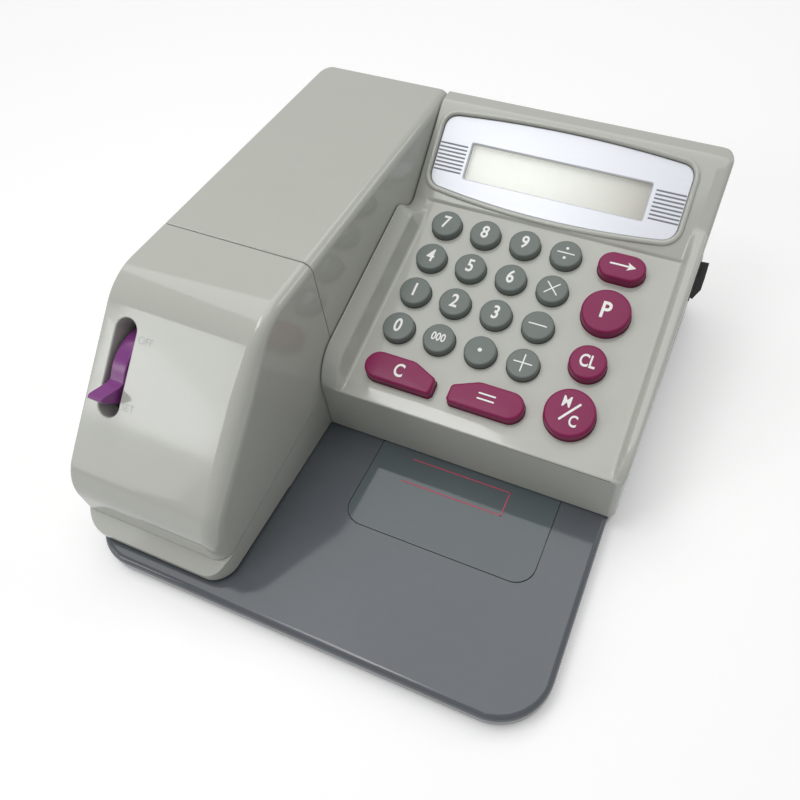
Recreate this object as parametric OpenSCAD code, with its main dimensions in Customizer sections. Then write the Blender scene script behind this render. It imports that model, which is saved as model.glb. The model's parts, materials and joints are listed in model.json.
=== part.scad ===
// Desk check writer: a keypad housing with a sloping panel and display, a print arm with a
// lever on its nose, and a thin tray that the check slides over. Millimetres, +Z up, +X right,
// +Y to the back. The origin is at the middle of the footprint, on the surface it stands on.

/* [Overall] */
// Height of the rubber feet
foot_h = 3; // [2:0.5:6]
// Running gap between neighbouring shells
shell_gap = 0.4; // [0.3:0.1:0.6]
// Wall thickness of the moulded shells
wall = 2.4; // [1.8:0.1:3]
// Depth of the flat top behind the display
top_band = 9.25; // [8:0.05:14]

/* [Tray] */
// Distance from the housing's right wall to the tray's right edge
tray_inset = 2.2; // [1:0.1:6]
// Thickness of the tray
tray_t = 6; // [5:0.5:8]
// Skin of the tray above its hollow underside
tray_skin = 2.2; // [1.6:0.1:3]
// Plan radius of the front corners of the tray
tray_corner_r = 20; // [8:1:28]
// Radius of the top edge of the tray in front of the housing
tray_edge_r = 2.5; // [1:0.1:3]
// Depth of the tray in front of the keypad housing
tray_reach = 84.8; // [76:0.1:92]
// Width of the clear guide window
window_w = 77; // [60:1:84]
// Distance from the keypad housing to the front edge of the window
window_reach = 38; // [25:1:50]
// Distance from the arm wall to the window
window_inset = 25; // [20:1:30]
// Thickness of the clear window
window_t = 1.2; // [0.8:0.1:1.6]
// Corner radius of the window
window_corner_r = 8; // [3:0.5:10]

/* [Arm] */
// Width of the arm
arm_w = 62; // [60:0.5:68]
// Distance from the motor to the seam between the two arm covers
seam_room = 10.9; // [8:0.1:14]
// Setback of the jaw behind the front edge of the tray
jaw_setback = 5.4; // [4:0.1:12]
// Distance the jaw stands out in front of the cover
jaw_lip = 5.5; // [3:0.1:6]
// Height of the upright front of the jaw, above the tray
jaw_front_h = 4.8; // [4:0.1:6]
// Angle of the leaning front face of the cover
nose_angle = 40.6; // [36:0.1:44]
// Radius where the top of the cover rolls over into the leaning face
nose_top_r = 27; // [12:1:34]
// Radius where the leaning face turns down
nose_low_r = 20; // [10:1:24]
// Distance from the front of the cover to the line where the flat top would meet the leaning face
nose_reach = 58.1; // [55:0.1:61]
// Height of the seam between cover and jaw at the housing, above the tray
jaw_seam_rear = 20; // [17:0.5:23]
// Height of that seam at the front of the arm
jaw_seam_front = 9.6; // [8:0.1:12]
// Height of the check throat at its mouth
throat_h = 1.6; // [1.5:0.1:3.5]
// Clearance for the check under the rear of the jaw
slot_h = 0.9; // [0.6:0.1:1.4]
// Length of the deeper throat, from the front of the jaw
throat_len = 46; // [30:1:55]
// Height of the step at the end of the throat
throat_step = 0.5; // [0.3:0.1:0.6]
// Plan radius of the back corner of the arm
arm_back_r = 8; // [2:0.5:12]
// Plan radius of the front right corner of the cover
arm_front_r = 6; // [2:0.5:9]
// Plan radius of its front left corner
arm_front_left_r = 2; // [1:0.5:9]
// Radius of the left top edge of the arm
arm_left_edge_r = 1.2; // [0.5:0.1:3]
// Plan radius of the front corners of the jaw
jaw_front_r = 9; // [6:0.5:16]

/* [Lever] */
// Width of the slot in the leaning face
lever_slot_w = 8.6; // [8:0.1:11]
// Length of the slot
lever_slot_len = 35.5; // [32:0.5:40]
// Distance of the slot's middle from the left wall of the arm
lever_inset = 10.6; // [10:0.1:14]
// Distance of the slot's middle down the leaning face
lever_drop = 31; // [29:0.5:33]
// Width of the lever disc
lever_w = 6.2; // [5:0.1:7]
// Radius of the lever disc
lever_r = 17.6; // [16:0.1:19]
// Depth of the lever axle below the leaning face
lever_depth = 18.4; // [18:0.1:20]
// Distance the finger tab stands out of the cover
lever_tab_out = 9.4; // [7:0.1:12]
// Width of the root of the finger tab, as an angle about the axle
lever_tab_spread = 28; // [20:1:30]
// Swing of the lever
lever_swing = 56; // [40:1:58]
// Diameter of the lever axle
lever_axle_d = 4; // [3:0.1:5]

/* [Keypad housing] */
// Width of the right rim at the front
right_rim_w = 4.8; // [4:0.1:7]
// Taper of the right wall towards the front
house_taper = 2.6; // [0:0.1:5]
// Height of the front wall above the tray
front_wall_h = 26.5; // [24:0.5:30]
// Slope of the key panel
panel_angle = 15; // [12:0.5:17]
// Distance from the arm to the sunken panel
recess_left = 8.4; // [7:0.1:9]
// Corner radius of the sunken panel
recess_r = 5; // [2:0.5:7]
// Height of the side rims above the panel
rim_h = 6; // [4:0.5:7]
// Extra height of the left rim where it meets the arm
flank_h = 5; // [1:0.5:6]
// Radius of the front ends of the rims
rim_front_r = 12; // [4:1:14]
// Slope of the display face
display_angle = 38; // [36:0.5:40]
// Plan radius of the back right corner of the housing
house_back_r = 8; // [3:0.5:12]
// Radius of the top edge at the back
top_edge_r = 3; // [1:0.5:5]

/* [Keys] */
// Column pitch of the small keys
key_pitch_x = 17.6; // [16.6:0.1:18]
// Row pitch of the small keys
key_pitch_y = 17.27; // [16.6:0.01:17.6]
// Distance from the housing's left wall to the first column
key_x0 = 20.2; // [20:0.1:21]
// Distance up the panel to the bottom row
key_y0 = 32.4; // [32:0.1:33]
// Diameter of the small keys
key_d = 12.9; // [11:0.1:13.6]
// Height of the small key tops above the panel
key_top = 3.3; // [2.8:0.1:4.5]
// Height of the purple key tops above the panel
purple_top = 4.6; // [3.8:0.1:6]
// Diameter of the two large round keys
round_key_d = 19.4; // [17:0.1:20]
// Diameter of the small purple key
clear_key_d = 14.5; // [13:0.1:16]
// Distance from the last column of small keys to the purple column
purple_step = 23.2; // [22.5:0.1:26]
// Distance from the large round keys to the side of the sunken panel
side_margin = 11.9; // [4:0.1:14]
// Distance from the top row to the head of the panel
head_margin = 11.19; // [9:0.01:16]
// Place of the lowest purple key up the panel
purple_y0 = 18.5; // [17.5:0.1:19.5]
// Gap between the lowest purple key and the next one
purple_gap_1 = 4.65; // [3:0.05:8]
// Gap between the second purple key and the third one
purple_gap_2 = 6.05; // [3:0.05:8]
// Gap between the third purple key and the top one
purple_gap_3 = 5.4; // [3:0.05:8]
// Length of the stadium key
stadium_len = 19.2; // [16:0.1:21]
// Depth of the stadium key
stadium_d = 12; // [10:0.1:13]
// Gap between the wide keys and the large round key beside them
wide_key_room = 6.5; // [5:0.1:10]
// Depth of the two wide keys
wide_key_d = 11.6; // [10:0.1:13]
// Place of the wide keys up the panel
wide_key_y = 13.9; // [13.5:0.1:14.5]
// Gap between the two wide keys
wide_key_gap = 6.6; // [5:0.1:8]
// Length of the cut corner of a wide key
wide_cut_len = 10.6; // [6:0.1:14]
// Depth of the cut corner
wide_cut_d = 4.3; // [2:0.1:6]
// Travel of a key
key_travel = 1.8; // [1:0.1:2]
// Clearance round a key
key_gap = 0.35; // [0.2:0.05:0.5]

/* [Display] */
// Distance from the bezel to the housing's right wall at the back
bezel_right = 13; // [8:0.1:16]
// Distance from the bezel's upper edge to the flat top
bezel_margin = 3; // [2.5:0.1:6]
// Distance from the housing's left wall to the bezel
bezel_left = 4.2; // [4:0.1:6]
// Distance up the display face to the ends of the bezel's lower edge
bezel_low = 6.8; // [6.4:0.1:8]
// Height of the bezel at its ends
bezel_h = 30.4; // [28:0.1:31]
// Bulge of the bezel's lower edge
bezel_sag = 3.9; // [2:0.1:4]
// Bulge of its upper edge
bezel_rise = 2.7; // [1:0.1:4]
// Corner radius of the bezel
bezel_r = 5; // [2:0.5:8]
// Thickness of the bezel plate
bezel_t = 1; // [0.6:0.1:1.5]
// Depth of the bezel's top below the display face
bezel_sink = 0.6; // [0.2:0.1:1]
// Width of the display window
lcd_w = 78.5; // [70:0.5:80]
// Height of the display window
lcd_h = 15.5; // [13:0.5:17]
// Distance up the display face to the window
lcd_low = 11.9; // [11:0.1:13]
// Thickness of the clear lens
lens_t = 1.2; // [0.8:0.1:1.6]
// Thickness of the display module
lcd_t = 4; // [3:0.1:5]

/* [Print mechanism] */
// Radius of the print wheel over its figures
wheel_r = 12.5; // [11:0.1:12.8]
// Width of the print wheel
wheel_w = 26; // [20:1:27]
// Height of the print wheel above the tray
wheel_lift = 1; // [0.8:0.1:1.5]
// Distance of the print wheel's axle behind the front of the cover
wheel_back = 26; // [25:0.5:28]
// Radius of the ink roller
ink_r = 7.6; // [6.5:0.1:8]
// Radius of the feed roller
feed_r = 7; // [6.5:0.1:7.2]
// Distance from the print wheel's axle back to the feed roller's axle
feed_back = 28; // [27:0.5:29]
// Radius of the pinch roller
pinch_r = 2.5; // [2:0.1:2.6]
// Gear module
gear_m = 0.8; // [0.75:0.01:0.82]
// Teeth on the print wheel gear
wheel_teeth = 24; // [22:1:24]
// Teeth on the feed roller gear
feed_teeth = 16; // [15:1:16]
// Teeth on the idler gear
idler_teeth = 36; // [34:1:38]
// Teeth on the motor pinion
pinion_teeth = 12; // [12:1:14]
// Face width of the gears
gear_w = 3.2; // [2.5:0.1:3.6]
// Diameter of the axles
axle_d = 4; // [3:0.1:4.4]
// Radial clearance of an axle in its bore
axle_clear = 0.05; // [0.02:0.01:0.09]
// Thickness of the frame plates
plate_t = 1.4; // [1:0.1:1.8]
// Radius of the motor
motor_r = 11; // [10:0.5:12]
// Length of the motor
motor_len = 27; // [24:1:30]

/* [Power] */
// Width of the rocker switch
switch_w = 11; // [9:0.1:13]
// Height of the rocker switch
switch_tall = 14.2; // [13:0.1:22]
// Distance of the switch from the back wall
switch_from_back = 34.6; // [30:0.5:50]
// Height of the switch's middle above the tray
switch_h = 37.8; // [28:0.1:40]
// Distance that the rocker stands out
switch_out = 3.5; // [2.5:0.1:4.5]
// Swing of the rocker
switch_swing = 20; // [14:1:20]
// Diameter of the power inlet
jack_d = 8; // [6:0.1:9]
// Distance from the battery box to the arm's walls
box_margin = 6; // [6:0.1:9]
// Length of the battery box
box_len = 72; // [60:0.5:72]
// Height of the battery box
battery_box_h = 29; // [24:0.5:34]
// Travel of the battery door
door_travel = 20; // [10:1:20]
// Diameter of the rubber feet
foot_d = 10; // [8:0.5:11]
// Diameter of the case screws
screw_d = 2.8; // [2.4:0.1:3.2]

/* [Hidden] */
KEY_NAMES = ["key_0", "key_000", "key_point", "key_plus", "key_1", "key_2", "key_3",
    "key_minus", "key_4", "key_5", "key_6", "key_times", "key_7", "key_8", "key_9",
    "key_divide", "key_clear", "key_equals", "key_memory", "key_correct", "key_print",
    "key_arrow"];
$fn = 48;

// ---- places of the keys on the panel: distance from the housing's left wall, distance up ----
top_row = key_y0 + 3 * key_pitch_y;
purple_x = key_x0 + 3 * key_pitch_x + purple_step;
purple_y1 = purple_y0 + (round_key_d + clear_key_d) / 2 + purple_gap_1;
purple_y2 = purple_y1 + (clear_key_d + round_key_d) / 2 + purple_gap_2;
purple_y3 = purple_y2 + (round_key_d + stadium_d) / 2 + purple_gap_3;
panel_len = max(top_row, purple_y3) + head_margin;
recess_right = purple_x + round_key_d / 2 + side_margin;
recess_w = recess_right - recess_left;
wide_x0 = key_x0 - wide_key_d / 2;
wide_x1 = purple_x - round_key_d / 2 - wide_key_room;
wide_key_len = (wide_x1 - wide_x0 - wide_key_gap) / 2;

// ---- overall sizes ----
house_w = recess_right + right_rim_w + house_taper;
bezel_w = house_w - bezel_left - bezel_right;
display_step = 0.9;
display_len = bezel_low + bezel_h + bezel_rise + bezel_margin;
arm_h = front_wall_h + panel_len * sin(panel_angle) + display_step + display_len * sin(display_angle);
machine_d = tray_reach + panel_len * cos(panel_angle) + display_len * cos(display_angle) + top_band;
tray_w = arm_w + shell_gap + house_w - house_taper - tray_inset;
box_w = arm_w - 2 * box_margin;

// ---- levels and edges ----
y_front = -machine_d / 2;
y_back = machine_d / 2;
z_tray = foot_h + tray_t;
z_top = z_tray + arm_h;
total_w = arm_w + shell_gap + house_w + switch_out;
x_arm0 = -total_w / 2;
x_arm1 = x_arm0 + arm_w;
x_mid = (x_arm0 + x_arm1) / 2;
x_h0 = x_arm1 + shell_gap;
x_h1 = x_h0 + house_w;
y_house = y_front + tray_reach;
y_jaw = y_front + jaw_setback;
y_cover = y_jaw + jaw_lip;
eps = 0.01;

// ---- axles of the print mechanism, as (y, z) ----
mesh_gap = 0.05;
function gear_r(n) = n * gear_m / 2;
function reach(a, b) = gear_r(a) + gear_r(b) + mesh_gap;
// Upper meeting point of two circles about p and q
function circles_meet(p, rp, q, rq) =
    let (v = q - p, d = norm(v), a = (rp * rp - rq * rq + d * d) / (2 * d), h = sqrt(rp * rp - a * a))
    p + a * v / d + h * [-v[1], v[0]] / d;
ink_gap = 0.4;
ink_angle = 60;
pinion_angle = 10;
feed_lift = 0.7;
axle_w = [y_cover + wheel_back, z_tray + wheel_r + wheel_lift];
axle_f = [axle_w[0] + feed_back, z_tray + feed_r + feed_lift];
axle_i = circles_meet(axle_w, reach(wheel_teeth, idler_teeth), axle_f, reach(feed_teeth, idler_teeth));
axle_p = axle_i + reach(idler_teeth, pinion_teeth) * [cos(pinion_angle), sin(pinion_angle)];
axle_k = axle_w + (wheel_r + ink_r + ink_gap) * [cos(ink_angle), sin(ink_angle)];
axle_n = [axle_f[0], z_tray - pinch_r];
y_seam = axle_p[0] + motor_r + seam_room;

// Points of an arc about c, from angle a0 to a1
function arc(c, r, a0, a1, n = 8) =
    [for (i = [0:n]) let (t = a0 + (a1 - a0) * i / n) c + r * [cos(t), sin(t)]];
// Where the line through p at angle a meets the line through q at angle b
function meet(p, a, q, b) =
    let (t = ((q[0] - p[0]) * sin(b) - (q[1] - p[1]) * cos(b)) / sin(b - a))
    p + t * [cos(a), sin(a)];
// Point p moved a distance d square to a line at angle a
function beside(p, a, d) = p + d * [-sin(a), cos(a)];

// Extrudes a (y, z) profile along X from x0 over w
module along_x(x0, w)
    translate([x0, 0, 0]) rotate([90, 0, 90]) linear_extrude(w) children();

// ---- keypad housing outline ----
panel_foot = [y_house, z_tray + front_wall_h];
panel_head = panel_foot + panel_len * [cos(panel_angle), sin(panel_angle)];
flank_fall = 22;
display_foot = panel_head + [0, display_step];
display_head = meet(display_foot, display_angle, [0, z_top], 0);
house_bottom = z_tray + slot_h;
seat_depth = bezel_sink + bezel_t;
face_t = wall + seat_depth;
house_front_r = 3;
// Depth of the slot for the paper under the housing
paper_slot_len = 40;

module on_panel() translate([x_h0, panel_foot[0], panel_foot[1]]) rotate([panel_angle, 0, 0]) children();
module on_display()
    translate([x_h0, display_foot[0], display_foot[1]]) rotate([display_angle, 0, 0]) children();

// Side outline of the housing with its rims h above the panel
function house_side(h) =
    let (rim = beside(panel_foot, panel_angle, h),
         corner = meet(rim, panel_angle, panel_foot, 90),
         turn = 90 - panel_angle,
         lead = rim_front_r * tan(turn / 2),
         c = [y_house + rim_front_r, corner[1] - lead])
    concat(
        [[y_house, house_bottom]],
        arc(c, rim_front_r, 180, 180 - turn),
        [meet(rim, panel_angle, display_foot, display_angle), display_head],
        arc([y_back - top_edge_r, z_top - top_edge_r], top_edge_r, 90, 0),
        [[y_back, z_tray], [y_house + paper_slot_len, z_tray], [y_house + paper_slot_len, house_bottom]]);

// Plan outline of the housing, d inside its outer faces
module house_plan(d) {
    xf = x_h1 - house_taper - d;
    xb = x_h1 - d;
    polygon(concat(
        [[x_h0 + d, y_house + d]],
        arc([xf - house_front_r, y_house + house_front_r + d], house_front_r, 270, 360),
        arc([xb - house_back_r, y_back - house_back_r - d], house_back_r, 0, 90),
        [[x_h0 + d, y_back - d]]));
}

// ---- keys ----
// One row per small key: column, row and name
small_keys = [for (row = [0:3], col = [0:3]) [col, row, KEY_NAMES[row * 4 + col]]];
function small_key_at(k) = [key_x0 + k[0] * key_pitch_x, key_y0 + k[1] * key_pitch_y];
function purple_at(i) = [purple_x, [purple_y0, purple_y1, purple_y2, purple_y3][i]];
wide_y0 = wide_key_y - wide_key_d / 2;
key_lip = 1;
key_lip_t = 1.1;
key_rest_gap = 0.3;
key_foot = -wall - key_rest_gap - key_lip_t;
key_edge = 0.5;
mat_top = key_foot - key_travel - 1.8;
mat_t = 1.2;
dome_h = 1.5;
dome_r = 2.6;
board_t = 1.6;
mat_bottom = mat_top - mat_t;

// Rectangle with round ends, of length l and width w over all
module capsule(l, w) union() {
    square([l - w, w], center = true);
    for (side = [-1, 1]) translate([side * (l - w) / 2, 0]) circle(w / 2);
}
// The stadium key, grown by g
module stadium(g) capsule(stadium_len + 2 * g, stadium_d + 2 * g);
// The left one of the two wide keys, grown by g, with its lower left corner at the origin
module wide_key(g) {
    r = wide_key_d / 2;
    offset(delta = g) polygon(concat(
        arc([r, r], r, 90, 270, 16),
        [[wide_key_len, 0], [wide_key_len, wide_key_d - wide_cut_d],
         [wide_key_len - wide_cut_len, wide_key_d]]));
}
module wide_pair(i, g) {
    if (i == 0) translate([wide_x0, wide_y0]) wide_key(g);
    else translate([wide_x1, wide_y0]) mirror([1, 0]) wide_key(g);
}
// A round key: cap with an eased top edge, and the lip that keeps it under the panel
module round_key(at, d, top) on_panel() translate([at[0], at[1], 0]) {
    translate([0, 0, key_foot]) cylinder(d = d, h = top - key_edge - key_foot);
    translate([0, 0, top - key_edge]) cylinder(d1 = d, d2 = d - 2 * key_edge, h = key_edge);
    translate([0, 0, key_foot]) cylinder(d = d + 2 * key_lip, h = key_lip_t);
}
module small_key(i) color("slategray")
    round_key(small_key_at(small_keys[i]), key_d, key_top);
module purple_round(i, d) color("mediumvioletred") round_key(purple_at(i), d, purple_top);
module wide_purple(i) color("mediumvioletred") on_panel() {
    translate([0, 0, key_foot]) linear_extrude(purple_top - key_foot) wide_pair(i, 0);
    translate([0, 0, key_foot]) linear_extrude(key_lip_t) wide_pair(i, key_lip);
}
module key_arrow() color("mediumvioletred") on_panel() translate([purple_at(3)[0], purple_at(3)[1], 0]) {
    translate([0, 0, key_foot]) linear_extrude(purple_top - key_foot) stadium(0);
    translate([0, 0, key_foot]) linear_extrude(key_lip_t) stadium(key_lip);
}
purple_d = [round_key_d, clear_key_d, round_key_d];

// Everything cut through the panel for the keys
module key_holes() on_panel() translate([0, 0, -wall - 1]) {
    for (k = small_keys)
        translate([small_key_at(k)[0], small_key_at(k)[1], 0])
            cylinder(d = key_d + 2 * key_gap, h = wall + 2);
    for (i = [0:2])
        translate([purple_at(i)[0], purple_at(i)[1], 0])
            cylinder(d = purple_d[i] + 2 * key_gap, h = wall + 2);
    translate([purple_at(3)[0], purple_at(3)[1], 0]) linear_extrude(wall + 2) stadium(key_gap);
    for (i = [0:1]) linear_extrude(wall + 2) wide_pair(i, key_gap);
}

// Posts that carry the circuit board and the rubber mat
post_r = 2.5;
post_peg_r = 1.2;
post_xs = [wall + post_r + 0.7, recess_right - 1.8];
post_ys = [12, panel_len - 11.4];
module board_posts() on_panel() for (x = post_xs, y = post_ys) translate([x, y, 0]) {
    translate([0, 0, mat_bottom]) cylinder(r = post_r, h = -mat_bottom - wall / 2);
    translate([0, 0, mat_bottom - board_t - 0.6]) cylinder(r = post_peg_r, h = board_t + 1);
}
mat_x = [recess_left + 1.2, recess_right - 5.8];
mat_y = [5, panel_len - 3.4];
module key_mat() color("gainsboro") on_panel() {
    translate([mat_x[0], mat_y[0], mat_bottom])
        cube([mat_x[1] - mat_x[0], mat_y[1] - mat_y[0], mat_t]);
    for (k = small_keys)
        translate([small_key_at(k)[0], small_key_at(k)[1], mat_top - eps]) cylinder(r = dome_r, h = dome_h);
    for (i = [0:3])
        translate([purple_at(i)[0], purple_at(i)[1], mat_top - eps]) cylinder(r = dome_r, h = dome_h);
    for (x = [wide_x0 + wide_key_len / 2, wide_x1 - wide_key_len / 2])
        translate([x, wide_key_y, mat_top - eps]) cylinder(r = dome_r, h = dome_h);
}
board_x = [wall + 0.6, recess_right + 1.2];
module main_board() color("darkgreen") on_panel() difference() {
    translate([board_x[0], mat_y[0], mat_bottom - board_t])
        cube([board_x[1] - board_x[0], mat_y[1] - mat_y[0], board_t]);
    for (x = post_xs, y = post_ys) translate([x, y, mat_bottom - board_t - 1])
        cylinder(r = post_peg_r + 0.05, h = board_t + 2);
}

// ---- display ----
lcd_left = bezel_left + (bezel_w - lcd_w) / 2;
// Outline of the bezel: a bowed rectangle, grown by g
module bezel_outline(g) {
    n = 24;
    offset(r = bezel_r + g) offset(delta = -bezel_r) polygon(concat(
        [for (i = [0:n]) let (u = 2 * i / n - 1)
            [bezel_left + bezel_w * i / n, bezel_low - bezel_sag * (1 - u * u)]],
        [for (i = [0:n]) let (u = 1 - 2 * i / n)
            [bezel_left + bezel_w * (1 - i / n), bezel_low + bezel_h + bezel_rise * (1 - u * u)]]));
}
module lcd_window(g) translate([lcd_left - g, lcd_low - g]) square([lcd_w + 2 * g, lcd_h + 2 * g]);
lip_w = 2.2;
lip_h = 0.8;
lens_margin = 2;
lcd_margin = 5;
module display_bezel() color("whitesmoke") on_display() translate([0, 0, -seat_depth])
    linear_extrude(bezel_t) difference() {
        bezel_outline(-0.15);
        lcd_window(0);
    }
module display_lens() color("lightcyan") on_display() translate([0, 0, -seat_depth - lens_t])
    linear_extrude(lens_t) lcd_window(lens_margin);
module lcd_module() color("darkseagreen") on_display() translate([0, 0, -face_t - lcd_t])
    linear_extrude(lcd_t) lcd_window(lcd_margin);

// ---- screws and feet ----
screw_head_d = 5.4;
screw_head_h = 1.8;
screw_len = 14;
boss_r = 3.6;
boss_h = 18;
boss_in = wall + boss_r - 0.6;
// Right wall of the housing at y
function house_right(y) = x_h1 - house_taper * (y_back - y) / (y_back - y_house);
house_screw_y = y_house + paper_slot_len + 4;
house_screws = [for (x = [x_h0 + boss_in, house_right(house_screw_y) - boss_in]) [x, house_screw_y],
                for (x = [x_h0 + boss_in + 4, x_h1 - boss_in - 10]) [x, y_back - boss_in]];
cover_screws = [for (side = [-1, 1]) [x_mid + side * 22, y_back - boss_in]];
jaw_screws = [for (side = [-1, 1]) [x_mid + side * 18, y_seam + 2.4]];
all_screws = concat(house_screws, cover_screws, jaw_screws);
foot_side = 14;
foot_front = 16;
foot_rear = 26;
feet = [[x_arm0 + foot_side, y_front + foot_front], [x_arm0 + tray_w - foot_side, y_front + foot_front],
        [x_mid, y_back - foot_d / 2 - 1.4], [x_arm0 + tray_w - foot_side, y_back - foot_rear]];
foot_peg_d = 4;
foot_peg_h = 2.6;

// ---- housing ----
switch_y = y_back - switch_from_back;
switch_z = z_tray + switch_h;
switch_x = house_right(switch_y);
jack_x = x_h0 + 22;
jack_z = z_tray + 16;

module house_shell() difference() {
    union() {
        intersection() {
            along_x(x_h0, house_w) polygon(house_side(rim_h));
            linear_extrude(z_top + 1) house_plan(0);
        }
        // the left rim climbs towards the arm
        intersection() {
            along_x(x_h0, recess_left) polygon(house_side(rim_h + flank_h));
            on_panel() rotate([90, 0, 0]) translate([0, 0, -panel_len])
                linear_extrude(2 * panel_len) polygon([[0, 0], [recess_left - 0.6, 0],
                    [recess_left - 0.6, rim_h - 0.5], [0, rim_h + flank_h]]);
            on_panel() rotate([90, 0, 90]) linear_extrude(recess_left) polygon([[-30, -40],
                [-30, 40], [panel_len - flank_fall, rim_h + flank_h + 1], [panel_len, display_step],
                [panel_len, -40]]);
            linear_extrude(z_top + 1) house_plan(0);
        }
    }
    // inside of the shell
    intersection() {
        along_x(x_h0, house_w) polygon([
            [y_house, z_tray - 1],
            meet([y_house, 0], 90, beside(panel_foot, panel_angle, -wall), panel_angle),
            meet(beside(panel_foot, panel_angle, -wall), panel_angle,
                 beside(display_foot, display_angle, -face_t), display_angle),
            meet(beside(display_foot, display_angle, -face_t), display_angle, [0, z_top - wall], 0),
            [y_back, z_top - wall],
            [y_back, z_tray - 1]]);
        linear_extrude(z_top) house_plan(wall);
    }
}
module keypad_housing() color("lightgray") {
    difference() {
        union() {
            difference() {
                house_shell();
                // sunken key panel, open at the front, and the display face behind it
                on_panel() linear_extrude(arm_h) union() {
                    translate([recess_left, -arm_h]) square([recess_w, arm_h + panel_len - recess_r]);
                    translate([recess_left + recess_r, 0]) square([recess_w - 2 * recess_r, panel_len]);
                    for (x = [recess_left + recess_r, recess_right - recess_r])
                        translate([x, panel_len - recess_r]) circle(recess_r);
                }
                on_display() translate([-1, -1.5, 0]) cube([recess_right + 1, 2 * display_len, arm_h]);
            }
            // raised lip round the bezel
            on_display() translate([0, 0, -0.5]) linear_extrude(lip_h + 0.5) bezel_outline(lip_w);
            board_posts();
            for (p = house_screws) translate([p[0], p[1], z_tray]) cylinder(r = boss_r, h = boss_h);
            lcd_clips();
        }
        key_holes();
        on_display() {
            translate([0, 0, -seat_depth]) linear_extrude(arm_h) bezel_outline(0.1);
            translate([0, 0, -seat_depth - lens_t - 0.1])
                linear_extrude(lens_t + 1) lcd_window(lens_margin + 0.2);
            translate([0, 0, -face_t - 1]) linear_extrude(face_t) lcd_window(0.5);
        }
        translate([switch_x - 8, switch_y - switch_w / 2 - 0.8, switch_z - switch_tall / 2 - 0.8])
            cube([20, switch_w + 1.6, switch_tall + 1.6]);
        translate([jack_x, y_back - 10, jack_z]) rotate([-90, 0, 0]) cylinder(d = jack_d + 0.2, h = 20);
        for (p = house_screws)
            translate([p[0], p[1], z_tray - 1]) cylinder(d = screw_d + 0.1, h = screw_len);
    }
}
// Clips beside the display module
module lcd_clips() on_display() for (x = [lcd_left - lcd_margin - 2.4, lcd_left + lcd_w + lcd_margin + 0.4])
    translate([x, lcd_low - 2, -face_t - lcd_t - 0.6]) cube([2, lcd_h + 4, lcd_t + 1]);

// ---- arm covers ----
nose_top = [y_cover + nose_reach, z_top];
nose_foot = meet(nose_top, nose_angle, [y_cover, 0], 90);
top_lead = nose_top_r * tan(nose_angle / 2);
low_lead = nose_low_r * tan((90 - nose_angle) / 2);
seam_a = [y_house, z_tray + jaw_seam_rear];
seam_b = [y_cover, z_tray + jaw_seam_front];
seam_angle = atan2(seam_a[1] - seam_b[1], seam_a[0] - seam_b[0]);
function seam_z(y) = seam_b[1] + (y - y_cover) * tan(seam_angle);

// Side outline of the front cover, d inside its outer faces and with its lower edge at the seam
function cover_side(d) = concat(
    [[y_seam - shell_gap / 2 + (d > 0 ? 1 : 0), z_top - d]],
    arc([nose_top[0] + top_lead, z_top - nose_top_r], nose_top_r - d, 90, 90 + nose_angle, 14),
    arc([y_cover + nose_low_r, nose_foot[1] - low_lead], nose_low_r - d, 90 + nose_angle, 180, 12),
    [[y_cover + d, seam_z(y_cover) + shell_gap - (d > 0 ? 5 : 0)],
     [y_seam - shell_gap / 2 + (d > 0 ? 1 : 0), seam_z(y_seam) + shell_gap - (d > 0 ? 5 : 0)]]);

// Cross-section of the arm, d inside, with its top edges rounded; height measured down from its top
module arm_section(d, low) polygon(concat(
    [[x_arm0 + d, -low]],
    arc([x_arm0 + d + arm_left_edge_r, -d - arm_left_edge_r], arm_left_edge_r, 180, 90),
    arc([x_arm1 - d - top_edge_r, -d - top_edge_r], top_edge_r, 90, 0),
    [[x_arm1 - d, -low]]));

module front_block(d) intersection() {
    along_x(x_arm0 + d, arm_w - 2 * d) polygon(cover_side(d));
    // rounded long edges of the flat top
    translate([0, y_back, z_top]) rotate([90, 0, 0]) linear_extrude(machine_d) arm_section(d, z_top);
    // rounded side edges of the leaning face
    translate([0, nose_top[0], z_top]) rotate([90 + nose_angle, 0, 0])
        translate([0, 0, -machine_d]) linear_extrude(2 * machine_d) arm_section(d, 4 * z_top);
    // rounded front corners in plan
    linear_extrude(z_top + 1) polygon(concat(
        [[x_arm0 + d, y_seam + 2]],
        arc([x_arm0 + d + arm_front_left_r, y_cover + d + arm_front_left_r], arm_front_left_r, 180, 270),
        arc([x_arm1 - d - arm_front_r, y_cover + d + arm_front_r], arm_front_r, 270, 360),
        [[x_arm1 - d, y_seam + 2]]));
}

module rear_block(d) intersection() {
    translate([0, y_back, z_top]) rotate([90, 0, 0]) linear_extrude(machine_d) arm_section(d, z_top);
    along_x(x_arm0 + d, arm_w - 2 * d) polygon(concat(
        [[y_seam + shell_gap / 2 - (d > 0 ? 1 : 0), z_tray - (d > 0 ? 1 : 0)],
         [y_seam + shell_gap / 2 - (d > 0 ? 1 : 0), z_top - d]],
        arc([y_back - d - top_edge_r, z_top - d - top_edge_r], top_edge_r, 90, 0),
        [[y_back - d, z_tray - (d > 0 ? 1 : 0)]]));
    linear_extrude(z_top + 1) polygon(concat(
        [[x_arm1 - d, y_seam - 2], [x_arm1 - d, y_back - d]],
        arc([x_arm0 + d + arm_back_r, y_back - d - arm_back_r], arm_back_r, 90, 180),
        [[x_arm0 + d, y_seam - 2]]));
}
module arm_rear_cover() color("lightgray") difference() {
    union() {
        difference() {
            rear_block(0);
            rear_block(wall);
        }
        for (p = cover_screws) translate([p[0], p[1], z_tray]) cylinder(r = boss_r, h = boss_h);
    }
    for (p = cover_screws) translate([p[0], p[1], z_tray - 1]) cylinder(d = screw_d + 0.1, h = screw_len);
}

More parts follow.
